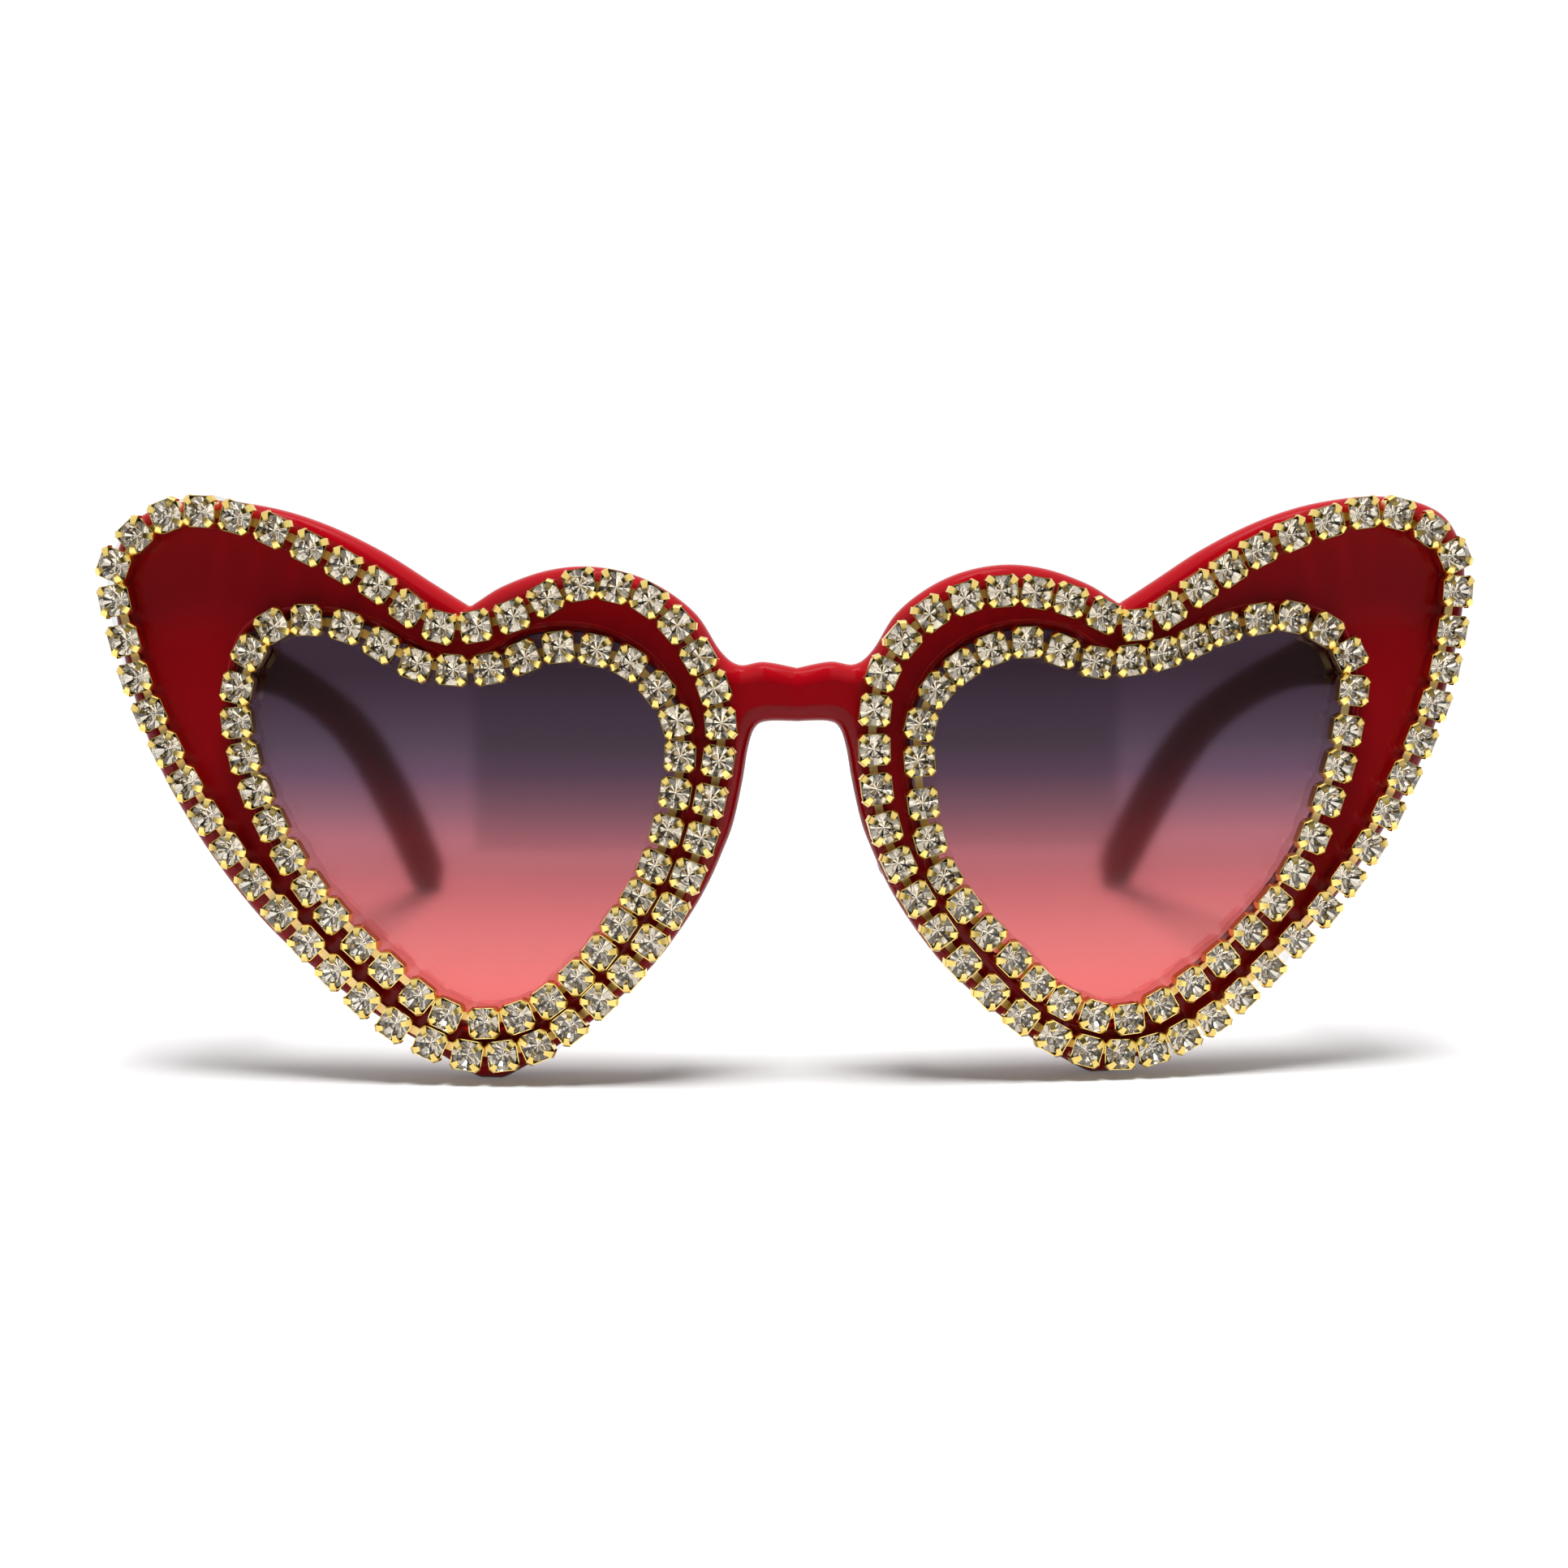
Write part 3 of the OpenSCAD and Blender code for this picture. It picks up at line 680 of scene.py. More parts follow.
def pale_floor():
    """White floor that keeps the shadow under the sunglasses and glows white round it.
    Its part before the camera looks dim in gloss, as the edge of a table does, and so
    does all of it in the gloss of what stands behind a lens."""
    material, shader = bare_material("pale_floor")
    tree = material.node_tree
    place, place_parts = places(tree)
    distance = add_node(tree, "ShaderNodeVectorMath", {0: place}, operation="LENGTH").outputs["Value"]
    y = place_parts["Y"]
    path = add_node(tree, "ShaderNodeLightPath").outputs

    to_line, contact, free, free_glow = 0.002 - FRONT_Y, 0.004, 0.02, 0.36
    from_line = computed(tree, "ADD", y, to_line, clamp=False)
    from_front = computed(tree, "ABSOLUTE", from_line, clamp=False)
    beside = mapped(tree, from_front, contact, free, settings().stage.floor_glow, free_glow)
    middle, white_from = 0.08, 0.36
    glow = mapped(tree, distance, middle, white_from, beside)
    seen = seen_directly(tree, "Is Camera Ray", "Is Glossy Ray", "Is Transmission Ray")

    dims_at, dim_at = FRONT_Y - 0.07, FRONT_Y - 0.14
    near = mapped(tree, y, dims_at, dim_at)
    near = computed(tree, "MULTIPLY", near, path["Is Glossy Ray"])
    near = computed(tree, "SUBTRACT", near, path["Is Transmission Ray"])
    behind = computed(tree, "MULTIPLY", path["Is Glossy Ray"], path["Transmission Depth"])
    behind = computed(tree, "SUBTRACT", behind, path["Is Transmission Ray"])
    far = mapped(tree, distance, 0.15, 0.6)
    dim = computed(tree, "MAXIMUM", computed(tree, "MAXIMUM", near, behind), far)
    dim = computed(tree, "MULTIPLY_ADD", path["Is Diffuse Ray"], 0.5, dim)

    lit = computed(tree, "MULTIPLY", seen, glow)
    set_inputs(shader, {
        "Base Color": blended(tree, dim, (0.78, 0.78, 0.78, 1), (0.1, 0.1, 0.1, 1)),
        "Roughness": 0.9,
        "Specular IOR Level": 0.0,
        "Emission Color": (1, 1, 1, 1),
        "Emission Strength": computed(tree, "MULTIPLY", lit, mapped(tree, near, 0, 1, 1, 0.12)),
    })
    return material


def dim_card():
    """Card that only light through glass sees: the dimmer middle of the background."""
    material = empty_material("dim_card")
    tree = material.node_tree
    _, place_parts = places(tree)
    strength = mapped(tree, place_parts["Z"], 0, 0.02, 1, settings().stage.card)
    glow = add_node(tree, "ShaderNodeEmission", {"Strength": strength})
    add_node(tree, "ShaderNodeOutputMaterial", {"Surface": glow.outputs["Emission"]})
    return material


def light_tent():
    """World: white to the camera and through glass, bright walls with a dim front and a
    bright roof in gloss, and a soft fill light."""
    stage = settings().stage
    world = bpy.data.worlds.new("light_tent")
    world.use_nodes = True
    tree = world.node_tree
    tree.nodes.clear()
    _, direction = places(tree, "Generated")
    ahead = computed(tree, "MULTIPLY", direction["Y"], -1, clamp=False)
    bearing = computed(tree, "ARCTAN2", direction["X"], ahead, clamp=False)
    # A dark upright strip, by the bearing of its middle and of its edges' two sides
    strip, strip_inside, strip_outside = 0.026, 0.19, 0.21
    aside = computed(tree, "SUBTRACT", bearing, strip, clamp=False)
    aside = computed(tree, "ABSOLUTE", aside, clamp=False)
    opening = mapped(tree, aside, strip_inside, strip_outside)
    # The dim front, the walls and the roof, by how far a direction points ahead or up
    front_edge, walls_edge, roof_start, roof_full = 0.94, 0.77, 0.97, 0.99
    walls = mapped(tree, ahead, front_edge, walls_edge, stage.room, stage.walls)
    roof = mapped(tree, direction["Z"], roof_start, roof_full, 0, stage.roof)
    in_gloss = computed(tree, "ADD", walls, roof, clamp=False)
    in_gloss = computed(tree, "MULTIPLY", opening, in_gloss, clamp=False)
    level = add_node(tree, "ShaderNodeMix", {
        "Factor": seen_directly(tree, "Is Glossy Ray"), "A": stage.fill, "B": in_gloss})
    tent, white = (
        add_node(tree, "ShaderNodeBackground", {
            "Color": (1, 1, 1, 1), "Strength": strength}).outputs["Background"]
        for strength in (level.outputs["Result"], 1)
    )
    seen = seen_directly(tree, "Is Camera Ray", "Is Transmission Ray")
    mix = add_node(tree, "ShaderNodeMixShader", {"Fac": seen, 1: tent, 2: white})
    add_node(tree, "ShaderNodeOutputWorld", {"Surface": mix.outputs["Shader"]})
    return world


# Front

def front_plate():
    """The right half of the moulding: a rounded plate with its lens opening."""
    front = settings().front
    thick, rounding = mm(front.thickness), mm(front.rounding)
    half = smooth_line(on_front(FRONT_SHARES), 6)
    outline = [(-thick, half[-1][1]), (-thick, half[0][1])] + [(x, max(z, 0)) for x, z in half]
    obj = curve_object((outline,), True)
    obj.data.fill_mode = "BOTH"
    obj.data.offset = -rounding
    obj.data.extrude = thick / 2 - rounding
    obj.data.bevel_depth = rounding
    obj.data.bevel_resolution = 5
    obj = meshed(obj)
    weld(obj)
    lip, slope = mm(front.lip), mm(front.slope)
    ridge = moved(smooth_loop(on_front(OPENING_SHARES), 8), -mm(front.lip_inset))
    mouth = moved(ridge, -slope)
    # A straight cut through the plate, then the slopes on its front and its back
    for level, depth in ((0, 0), (thick / 2, 0.62), (-thick / 2, 1.5)):
        opening = curve_object((mouth,), True)
        opening.data.fill_mode = "BOTH"
        if depth:
            opening.data.bevel_depth = slope
            opening.data.bevel_resolution = 0
        else:
            opening.data.extrude = thick
        opening = meshed(opening)
        weld(opening)
        deepened = Matrix.Scale(depth / slope or 1, 4, (0, 0, 1))
        put(opening, Matrix.Translation((0, 0, level)) @ deepened)
        modify(obj, "BOOLEAN", operation="DIFFERENCE", object=opening, solver="EXACT")
        drop(opening)
    lips = []
    proud = 0.12
    sunk = lip - proud
    for level in (thick / 2 - sunk, sunk - thick / 2):
        bead = curve_object([[(x, y, level) for x, y in ridge]], False)
        bead.data.bevel_depth = lip
        bead.data.bevel_resolution = 4
        lips.append(meshed(bead))
    obj = joined([obj, *lips], "plate")
    put(obj, plate("right") @ Matrix.Translation((0, 0, -thick / 2)))
    # Ends at the middle plane, with edges beside it that let the bridge be rounded
    all_in_edit(obj)
    bpy.ops.mesh.bisect(
        plane_co=(0, 0, 0), plane_no=(1, 0, 0), clear_inner=True, threshold=0.000001)
    spacing = 0.0005
    for step in range(1, 9):
        bpy.ops.mesh.select_all(action="SELECT")
        bpy.ops.mesh.bisect(plane_co=(step * spacing, 0, 0), plane_no=(1, 0, 0))
    leave_edit()
    return obj


def hinge_boss():
    """Rounded block on the back of the right wing, which the hinge leaf lies in."""
    low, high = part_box("front_leaf_right")
    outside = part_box("temple_right")[1].x
    margin, depth, past_leaf, rounding = 0.0006, 0.0022, 0.00088, 0.0005
    size = Vector((outside - low.x + margin, depth, settings().temple.height))
    back = low.y + past_leaf
    middle = Vector(((outside + low.x - margin) / 2, back - size.y / 2, (low.z + high.z) / 2))
    obj = cube(middle, size)
    apply_place()
    select_edges(obj, lambda a, b: min(a.y, b.y) > middle.y or abs(a.y - b.y) > 0.0001)
    bpy.ops.mesh.bevel(offset=rounding, segments=3, affect="EDGES")
    leave_edit()
    return obj


def nose_pad():
    """Long rounded pad on the back of the right rim."""
    front = settings().front
    foot_share, flare, standing_back = (0.152, 0.37), math.radians(14), 1.0
    foot = on_front((foot_share,))[0]
    deselect()
    bpy.ops.mesh.primitive_uv_sphere_add(
        segments=24, ring_count=16, radius=mm(front.pad_radius), location=(0, 0, 0))
    obj = bpy.context.object
    select_points(obj, lambda co: co.z > 0.001)
    bpy.ops.transform.translate(value=(0, 0, mm(front.pad_length)))
    leave_edit()
    all_in_edit(obj)
    bpy.ops.transform.resize(value=(0.95, 1.1, 1))
    leave_edit()
    lean = Matrix.Rotation(flare, 4, "Z") @ Matrix.Rotation(-math.pi / 2, 4, "X")
    place = Matrix.Translation((*foot, -mm(front.thickness) - standing_back))
    put(obj, plate("right") @ place @ lean)
    return obj


class SUNGLASSES_OT_front(bpy.types.Operator):
    """Model the red front with its lens openings, hinge bosses and nose pads"""
    bl_idname = "sunglasses.front"
    bl_label = "Front"

    def execute(self, context):
        front = settings().front
        obj = joined([front_plate(), hinge_boss(), nose_pad()], "front_moulding")
        modify(obj, "MIRROR", use_axis=(True, False, False), use_mirror_merge=True,
               merge_threshold=0.00001)
        # Rounds the fold between the two plates
        select_points(obj, lambda co: abs(co.x) < 0.0001 and co.y < FRONT_Y + 0.0005)
        bpy.ops.transform.translate(
            value=(0, math.tan(front.wrap) * front.bridge_round / 2, 0), use_proportional_edit=True,
            proportional_edit_falloff="SHARP", proportional_size=front.bridge_round)
        leave_edit()
        smooth(obj, 35)
        across, ahead = math.sin(front.wrap), math.cos(front.wrap)
        select_faces(obj, lambda middle, normal: abs(middle.x) > front.bridge_round and (
            abs(abs(normal.x * across) + abs(normal.y * ahead) - 1) < 0.00001))
        bpy.ops.mesh.faces_shade_flat()
        leave_edit()
        finish_piece(obj, obj.name, "front", ("front_frame",), "frame_red", red_moulding())
        return {"FINISHED"}


# Stones, cups and glue

def chain_angle(chain, i, side):
    """Direction of a chain at stone i, on its plate."""
    a, b = stone_place(chain, i - 0.5), stone_place(chain, i + 0.5)
    out = 1 if side == "right" else -1
    return math.atan2(b[1] - a[1], out * (b[0] - a[0]))


def seat(chain, i, lift, turn=0.0):
    """Matrix that puts a shape drawn round 0 at a chain's stone i."""
    side = chain.split("_")[1]
    x, y = stone_place(chain, i)
    if side == "left":
        x = -x
    return (
        plate(side) @ Matrix.Translation((x, y, lift))
        @ Matrix.Rotation(chain_angle(chain, i, side) + turn, 4, "Z")
    )


def chain_base(chain):
    """Height of a chain's cups above the front's face."""
    sizes = settings().chain
    return mm(sizes.link + sizes.glue) if chain.startswith("outer") else 0.0


def ring(count, radius, height):
    bpy.ops.mesh.primitive_circle_add(vertices=count, radius=radius, location=(0, 0, height))


def brilliant():
    """A round brilliant from its culet at 0, as the hull of its rings of corners."""
    sizes = settings().chain
    radius = mm(sizes.stone) / 2
    low, high = mm(sizes.pavilion), mm(sizes.pavilion + sizes.girdle)
    top = high + mm(sizes.crown)
    table, culet = radius * 0.58, radius * 0.05
    deselect()
    ring(16, radius, low)
    obj = bpy.context.object
    apply_place()
    bpy.ops.object.mode_set(mode="EDIT")
    ring(16, radius, high)
    ring(8, table, top)
    ring(16, culet, 0)
    bpy.ops.mesh.select_all(action="SELECT")
    bpy.ops.mesh.convex_hull(join_triangles=True, face_threshold=0.01, shape_threshold=0.7)
    leave_edit()
    weld(obj, 0.0001)
    obj.data.materials.append(cut_crystal())
    obj.data.materials.append(silver_foil())
    # Painted reflections: the facets behind the girdle get values in four repeating wedges, pale and
    # dark, which darken the foil where reflections of the dim room would fall; each value varies at
    # random within its range.
    reflection_tones = obj.data.attributes.new("tone", "FLOAT", "FACE")
    chance = random.Random(sizes.seed)
    wedge_reflection_tones = ((0.95, 1), (0.08, 0.25), (0.9, 1), (0.45, 0.75))
    for face, tone in zip(obj.data.polygons, reflection_tones.data):
        behind = face.center.z < low - 0.01
        face.material_index = 1 if behind else 0
        wedge = round(math.atan2(face.center.y, face.center.x) / math.pi * 8 - 0.5) % 4
        tone.value = chance.uniform(*wedge_reflection_tones[wedge]) if behind else 1
    return obj


def prong():
    """One of a cup's prongs, from its wall over the girdle to the crown, along +X."""
    sizes = settings().chain
    reach = mm(sizes.stone) / 2
    girdle = mm(sizes.floor + sizes.pavilion + sizes.girdle)
    side = [
        (reach + x, girdle + z) for x, z in (
            (0.5, -1), (0.5, -0.1), (0.42, 0.2), (0.16, 0.45), (-0.4, 0.66), (-0.6, 0.66),
            (-0.6, 0.56), (0.05, 0.12), (0.14, -1),
        )
    ]
    obj = curve_object((side,), True)
    obj.data.fill_mode = "BOTH"
    obj.data.extrude = mm(sizes.prong) / 2
    obj = meshed(obj)
    weld(obj)
    put(obj, Matrix.Rotation(math.pi / 2, 4, "X"))
    select_points(obj, lambda co: co.x < reach - 0.3)
    bpy.ops.transform.resize(value=(1, 0.7, 1))
    leave_edit()
    smooth(obj, 50)
    return obj


def cup():
    """Square cup with its four prongs bent over the stone's crown."""
    sizes = settings().chain
    w = mm(sizes.cup)
    wall, corner = 0.1, w * 0.2
    height = mm(sizes.floor + sizes.pavilion) + wall
    box = cube((0, 0, height / 2), (w, w, height))
    apply_place()
    select_edges(box, lambda a, b: abs(a.z - b.z) > height / 2)
    bpy.ops.mesh.bevel(offset=corner, segments=2, affect="EDGES")
    leave_edit()
    select_faces(box, lambda middle, normal: normal.z > 0.9)
    bpy.ops.mesh.inset(thickness=wall)
    depth = height - mm(sizes.floor) + 0.02
    bpy.ops.mesh.extrude_region_move(TRANSFORM_OT_translate={"value": (0, 0, -depth)})
    bpy.ops.transform.resize(value=(0.7, 0.7, 1))
    leave_edit()
    select_faces(box, lambda middle, normal: normal.z < -0.9)
    bpy.ops.transform.resize(value=(0.93, 0.93, 1))
    leave_edit()
    smooth(box, 35)
    tab = prong()
    tabs = [copied(tab, Matrix.Rotation(math.pi / 4 * k, 4, "Z")) for k in (1, 3, 5, 7)]
    drop(tab)
    obj = joined([box, *tabs], "cup")
    all_in_edit(obj)
    bpy.ops.mesh.normals_make_consistent(inside=False)
    leave_edit()
    return obj


def strung(shape, chain, lift, loose, name):
    """Copies of a shape at all of a chain's places, each turned and tilted a little."""
    chance = random.Random(f"{settings().chain.seed} {name}")
    tilt = 0.03
    copies = []
    for i in range(CHAINS[chain][0]):
        place = seat(chain, i, lift, chance.uniform(-loose, loose))
        for axis in "XY":
            place @= Matrix.Rotation(chance.uniform(-tilt, tilt), 4, axis)
        copies.append(copied(shape, place))
    return joined(copies, name)


class SUNGLASSES_OT_stones(bpy.types.Operator):
    """Cut one brilliant and set a copy in every cup"""
    bl_idname = "sunglasses.stones"
    bl_label = "Stones"

    def execute(self, context):
        stone = brilliant()
        for chain in CHAINS:
            lift = chain_base(chain) + mm(settings().chain.floor)
            ring_name, side = chain.split("_")
            made = strung(stone, chain, lift, math.pi, f"{ring_name}_brilliants_{side}")
            finish_piece(made, made.name, "front", (f"{ring_name}_stones_{side}",), "crystal")
        drop(stone)
        return {"FINISHED"}


class SUNGLASSES_OT_cups(bpy.types.Operator):
    """Form one gold cup with its prongs and lay a copy under every stone"""
    bl_idname = "sunglasses.cups"
    bl_label = "Cups"

    def execute(self, context):
        shape = cup()
        gold = gold_plating()
        for chain in CHAINS:
            ring_name, side = chain.split("_")
            made = strung(shape, chain, chain_base(chain), 0.03, f"{ring_name}_settings_{side}")
            finish_piece(made, made.name, "front", (f"{ring_name}_cups_{side}",), "cup_gold", gold)
        drop(shape)
        return {"FINISHED"}


def glue_bead(chain):
    """Flat wavy bead of glue along a chain."""
    sizes = settings().chain
    ring_name, side = chain.split("_")
    base = chain_base(chain) - mm(sizes.link + sizes.glue)
    chance = random.Random(f"{sizes.seed} glue {chain}")
    steps, count = 4, CHAINS[chain][0]
    out = 1 if side == "right" else -1
    line = [stone_place(chain, k / steps) for k in range(count * steps)]
    obj = curve_object([[(out * x, y, base) for x, y in line]], False)
    width = mm(sizes.glue_width) * (0.8 if ring_name == "outer" else 1)
    obj.data.bevel_depth = width / 2
    obj.data.bevel_resolution = 3
    phases = [chance.uniform(0, math.tau) for _ in range(3)]
    for k, point in enumerate(obj.data.splines[0].points):
        swell = sum(math.sin(k / len(line) * math.tau * turns + phase)
                    for turns, phase in zip((7, 19, 43), phases))
        point.radius = 0.96 + 0.06 * swell
    obj = meshed(obj)
    all_in_edit(obj)
    flatness = 1.3 * mm(sizes.glue) / (width / 2)
    bpy.ops.transform.resize(value=(1, 1, flatness), center_override=(0, 0, base))
    leave_edit()
    put(obj, plate(side))
    weld(obj, 0.0000005)
    smooth(obj, 60)
    return obj


class SUNGLASSES_OT_glue(bpy.types.Operator):
    """Run a wavy bead of clear glue under each chain"""
    bl_idname = "sunglasses.glue"
    bl_label = "Glue"

    def execute(self, context):
        glue = glossy_glue()
        for chain in CHAINS:
            ring_name, side = chain.split("_")
            finish_piece(glue_bead(chain), f"{ring_name}_bead_{side}", "front",
                         (f"{ring_name}_glue_{side}",), "clear_glue", glue)
        return {"FINISHED"}


# Temples and hinges

def temple_line():
    """The right temple's middle line in millimetres, from the hinge to the tip."""
    sizes = settings().temple
    low, high = (corner * 1000 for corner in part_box("temple_right"))
    x = high.x - mm(sizes.thickness) / 2
    hinge_z = mm(hinge_place("right").z)
    points = []
    for along, up, _, _ in TEMPLE_SHARES:
        lean = mm(sizes.lean) * max(0, along - sizes.straight) / (1 - sizes.straight)
        points.append((x - lean, low.y + along * mm(sizes.reach), up * hinge_z))
    return smooth_line(points, 6)


def temple_bar(line):
    """A straight tapered bar with a round tip, which is bent along the line later."""
    sizes = settings().temple
    tall, thick = mm(sizes.height) / 2, mm(sizes.thickness) / 2
    lengths = [0.0]
    for a, b in zip(line, line[1:]):
        lengths.append(lengths[-1] + (Vector(b) - Vector(a)).length)
    stations = [
        (lengths[6 * k], h * tall, t * thick) for k, (_, _, h, t) in enumerate(TEMPLE_SHARES)
    ]
    end, h, t = stations[-1]
    for degrees in (25, 48, 68, 82):
        angle = math.radians(degrees)
        stations.append((end + h * math.sin(angle), h * math.cos(angle), t * math.cos(angle)))
    deselect()
    bpy.ops.mesh.primitive_plane_add(size=2, location=(0, 0, 0), rotation=(0, math.pi / 2, 0))
    bar = bpy.context.object
    apply_place()
    all_in_edit(bar)
    bpy.ops.transform.resize(value=(1, thick, tall))
    bpy.ops.mesh.bevel(offset=thick * 0.75, segments=3, affect="VERTICES")
    for a, b in zip(stations, stations[1:]):
        bpy.ops.mesh.extrude_region_move(TRANSFORM_OT_translate={"value": (b[0] - a[0], 0, 0)})
        bpy.ops.transform.resize(value=(1, b[2] / a[2], b[1] / a[1]))
    leave_edit()
    weld(bar, 0.0001)
    select_faces(bar, lambda middle, normal: middle.x < 0.01 and abs(normal.x) > 0.9)
    bpy.ops.mesh.inset(thickness=0.25)
    leave_edit()
    return bar


def cut_block(obj, low, high):
    """Cuts the block between two corners out of an object."""
    low, high = Vector(low), Vector(high)
    block = cube((low + high) / 2, high - low)
    modify(obj, "BOOLEAN", operation="DIFFERENCE", object=block, solver="EXACT")
    drop(block)


def temple_shape():
    """The right temple: the bar bent along its line, with room cut for the hinge."""
    line = temple_line()
    bar = temple_bar(line)
    modify(bar, "SUBSURF", levels=2, render_levels=2)
    path = curve_object([line], False)
    path.data.splines[0].use_cyclic_u = False
    path.data.twist_mode = "Z_UP"
    modify(bar, "CURVE", object=path, deform_axis="POS_X")
    drop(path)
    put(bar, Matrix.Scale(0.001, 4))
    hinge = hinge_place("right")
    low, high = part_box("temple_leaf_right")
    width, start, reach = 0.008, 0.0018, 0.01
    inside, back = high.x - width, hinge.y + start
    cut_block(bar, (inside, back - reach, hinge.z - reach), (high.x, back, hinge.z + reach))
    cut_block(bar, (inside, hinge.y, low.z), high)
    weld(bar, 0.000001)
    smooth(bar, 40, weighted=True)
    return bar


class SUNGLASSES_OT_temples(bpy.types.Operator):
    """Draw out the two temples and bend them down and in behind the front"""
    bl_idname = "sunglasses.temples"
    bl_label = "Temples"

    def execute(self, context):
        right = temple_shape()
        left = copied(right, Matrix.Scale(-1, 4, (1, 0, 0)))
        put(left, Matrix.Identity(4))
        weld(left, 0.0000001)
        smooth(left, 40, weighted=True)
        red = temple_moulding()
        for side, obj in (("left", left), ("right", right)):
            finish_piece(obj, f"temple_arm_{side}", f"temple_{side}", (f"temple_{side}",),
                         "temple_red", red)
        return {"FINISHED"}


class SUNGLASSES_OT_screws(bpy.types.Operator):
    """Turn a slotted screw for each hinge"""
    bl_idname = "sunglasses.screws"
    bl_label = "Hinge screws"

    def execute(self, context):
        sizes = settings().temple
        steel = plain_metal("turned_steel")
        head, bevel, slot_length, slot_width, slot_depth = 0.0008, 0.0002, 0.004, 0.00035, 0.0003
        for side in ("left", "right"):
            low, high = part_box(f"hinge_screw_{side}")
            x, y, _ = hinge_place(side)
            shank = cylinder(sizes.screw / 2, high.z - low.z, (x, y, (high.z + low.z) / 2))
            cap = cylinder(sizes.screw_head / 2, head, (x, y, high.z - head / 2))
            apply_place()
            select_edges(cap, lambda a, b: min(a.z, b.z) > high.z - head / 2)
            bpy.ops.mesh.bevel(offset=bevel, segments=2, affect="EDGES")
            leave_edit()
            across, deep = Vector((slot_length / 2, slot_width / 2, 0)), Vector((0, 0, slot_depth))
            top = Vector((x, y, high.z))
            cut_block(cap, top - across - deep, top + across + deep)
            screw = joined([cap, shank], "screw")
            smooth(screw, 35)
            finish_piece(screw, f"slotted_screw_{side}", "front", (f"hinge_screw_{side}",),
                         "screw_steel", steel)
        return {"FINISHED"}


class SUNGLASSES_OT_kept_parts(bpy.types.Operator):
    """Give the lenses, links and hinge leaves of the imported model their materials"""
    bl_idname = "sunglasses.kept_parts"
    bl_label = "Lenses, links and hinge leaves"

    def execute(self, context):
        materials = {
            "lens": graded_tint(),
            "links": plain_metal("pale_gold_plating"),
            "leaf": plain_metal("rolled_brass"),
        }
        for name, node in frame["nodes"].items():
            for kind, material in materials.items():
                if kind in name:
                    node.data.materials.clear()
                    node.data.materials.append(material)
        return {"FINISHED"}


# Stage

def backdrop():
    """Floor that rises in a wide curve to a wall behind."""
    deselect()
    edge, rise, sweep = 1.6, 1.5, 0.6
    bpy.ops.mesh.primitive_plane_add(size=2 * edge, location=(0, 0, 0))
    floor = bpy.context.object
    apply_place()
    select_edges(floor, lambda a, b: min(a.y, b.y) > edge - 0.01)
    bpy.ops.mesh.extrude_region_move(TRANSFORM_OT_translate={"value": (0, 0, rise)})
    leave_edit()
    select_edges(floor, lambda a, b: min(a.y, b.y) > edge - 0.01 and max(a.z, b.z) < 0.01)
    bpy.ops.mesh.bevel(offset=sweep, segments=12, affect="EDGES")
    leave_edit()
    smooth(floor, 40)
    floor.name = "floor"
    floor.data.materials.append(pale_floor())


def background_card():
    """Dim card behind the front, which only the lenses show."""
    deselect()
    width, height, aside, behind = 0.129, 0.3, 0.006, 0.124
    bpy.ops.mesh.primitive_plane_add(
        size=1, location=(aside, behind, height / 2), rotation=(math.pi / 2, 0, 0))
    card = bpy.context.object
    card.name = "dim_card"
    all_in_edit(card)
    bpy.ops.transform.resize(value=(width, 1, height))
    leave_edit()
    apply_place()
    card.data.materials.append(dim_card())
    card.visible_camera = card.visible_diffuse = False
    card.visible_glossy = card.visible_shadow = False


def top_panel():
    """Soft light overhead, which isn't seen in gloss."""
    place = Vector((0, -0.22, 0.95))
    aim = Vector((0, -0.05, 0.03))
    deselect()
    bpy.ops.object.light_add(type="AREA", location=place)
    light = bpy.context.object
    light.name = "top_panel"
    light.rotation_euler = (aim - place).to_track_quat("-Z", "Y").to_euler()
    light.data.shape = "RECTANGLE"
    light.data.size = 0.36
    light.data.size_y = 0.3
    light.data.energy = settings().stage.top_light
    light.visible_glossy = False


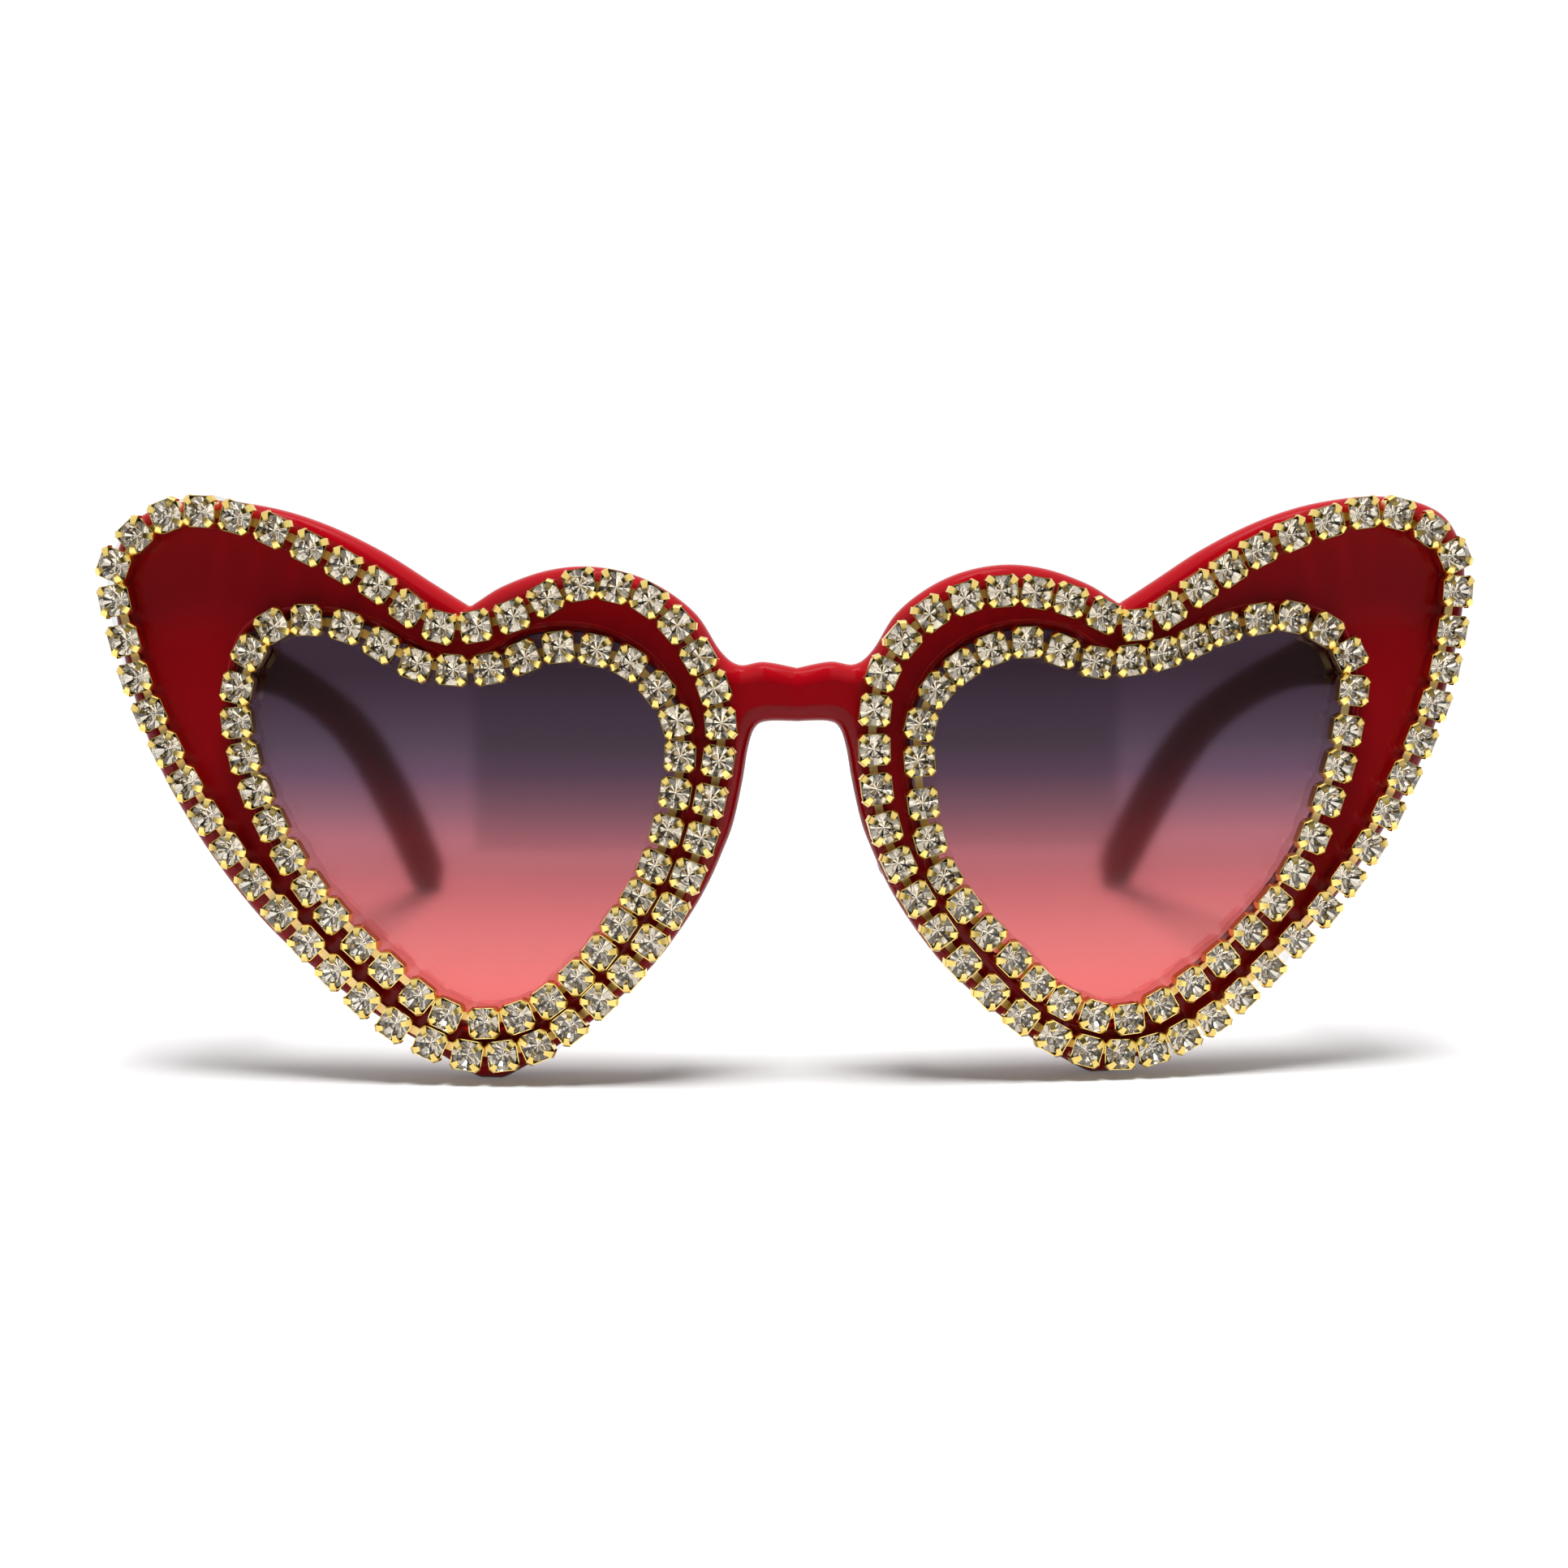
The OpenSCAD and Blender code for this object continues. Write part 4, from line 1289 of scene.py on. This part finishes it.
def photo_camera():
    """The photograph's camera, as fitted to the outlines of both hearts."""
    aside, down, roll = (math.radians(angle) for angle in (-1.42, 5.9, -0.24))
    focal_pixels, image_pixels, sensor = 2574, 1932, 36
    turn = (
        Matrix.Rotation(aside, 3, "Z") @ Matrix.Rotation(math.pi / 2 - down, 3, "X")
        @ Matrix.Rotation(roll, 3, "Z")
    )
    deselect()
    bpy.ops.object.camera_add(location=(-0.007, FRONT_Y - 0.222, 0.0559), rotation=turn.to_euler())
    camera = bpy.context.object
    camera.data.sensor_fit = "HORIZONTAL"
    camera.data.sensor_width = sensor
    camera.data.lens = sensor * focal_pixels / image_pixels
    camera.data.clip_start = 0.01
    return camera


class SUNGLASSES_OT_stage(bpy.types.Operator):
    """Set the floor, its backdrop, the lights and the camera"""
    bl_idname = "sunglasses.stage"
    bl_label = "Stage"

    def execute(self, context):
        backdrop()
        background_card()
        top_panel()
        context.scene.world = light_tent()
        context.scene.camera = photo_camera()
        context.scene.view_settings.view_transform = "Standard"
        return {"FINISHED"}


class SUNGLASSES_PT_panel(bpy.types.Panel):
    """Lists the steps that build the sunglasses"""
    bl_label = "Heart Sunglasses"
    bl_idname = "SUNGLASSES_PT_panel"
    bl_space_type = "VIEW_3D"
    bl_region_type = "UI"
    bl_category = "Sunglasses"

    def draw(self, context):
        for step in STEPS:
            self.layout.operator(step.bl_idname)
        for part in ("front", "chain", "temple", "stage"):
            box = self.layout.box()
            group = getattr(context.scene.sunglasses, part)
            for name in type(group).__annotations__:
                box.prop(group, name)


STEPS = (
    SUNGLASSES_OT_stage, SUNGLASSES_OT_front, SUNGLASSES_OT_stones, SUNGLASSES_OT_cups,
    SUNGLASSES_OT_glue, SUNGLASSES_OT_temples, SUNGLASSES_OT_screws, SUNGLASSES_OT_kept_parts,
)
CLASSES = (
    FrontSettings, ChainSettings, TempleSettings, StageSettings, SunglassesSettings,
    *STEPS, SUNGLASSES_PT_panel,
)


def register():
    for item in CLASSES:
        bpy.utils.register_class(item)
    bpy.types.Scene.sunglasses = PointerProperty(type=SunglassesSettings)


def unregister():
    del bpy.types.Scene.sunglasses
    for item in reversed(CLASSES):
        bpy.utils.unregister_class(item)


def main():
    register()
    bpy.ops.sunglasses.stage()
    bpy.ops.sunglasses.front()
    bpy.ops.sunglasses.stones()
    bpy.ops.sunglasses.cups()
    bpy.ops.sunglasses.glue()
    bpy.ops.sunglasses.temples()
    bpy.ops.sunglasses.screws()
    bpy.ops.sunglasses.kept_parts()
    deselect()


if __name__ == "__main__":
    main()
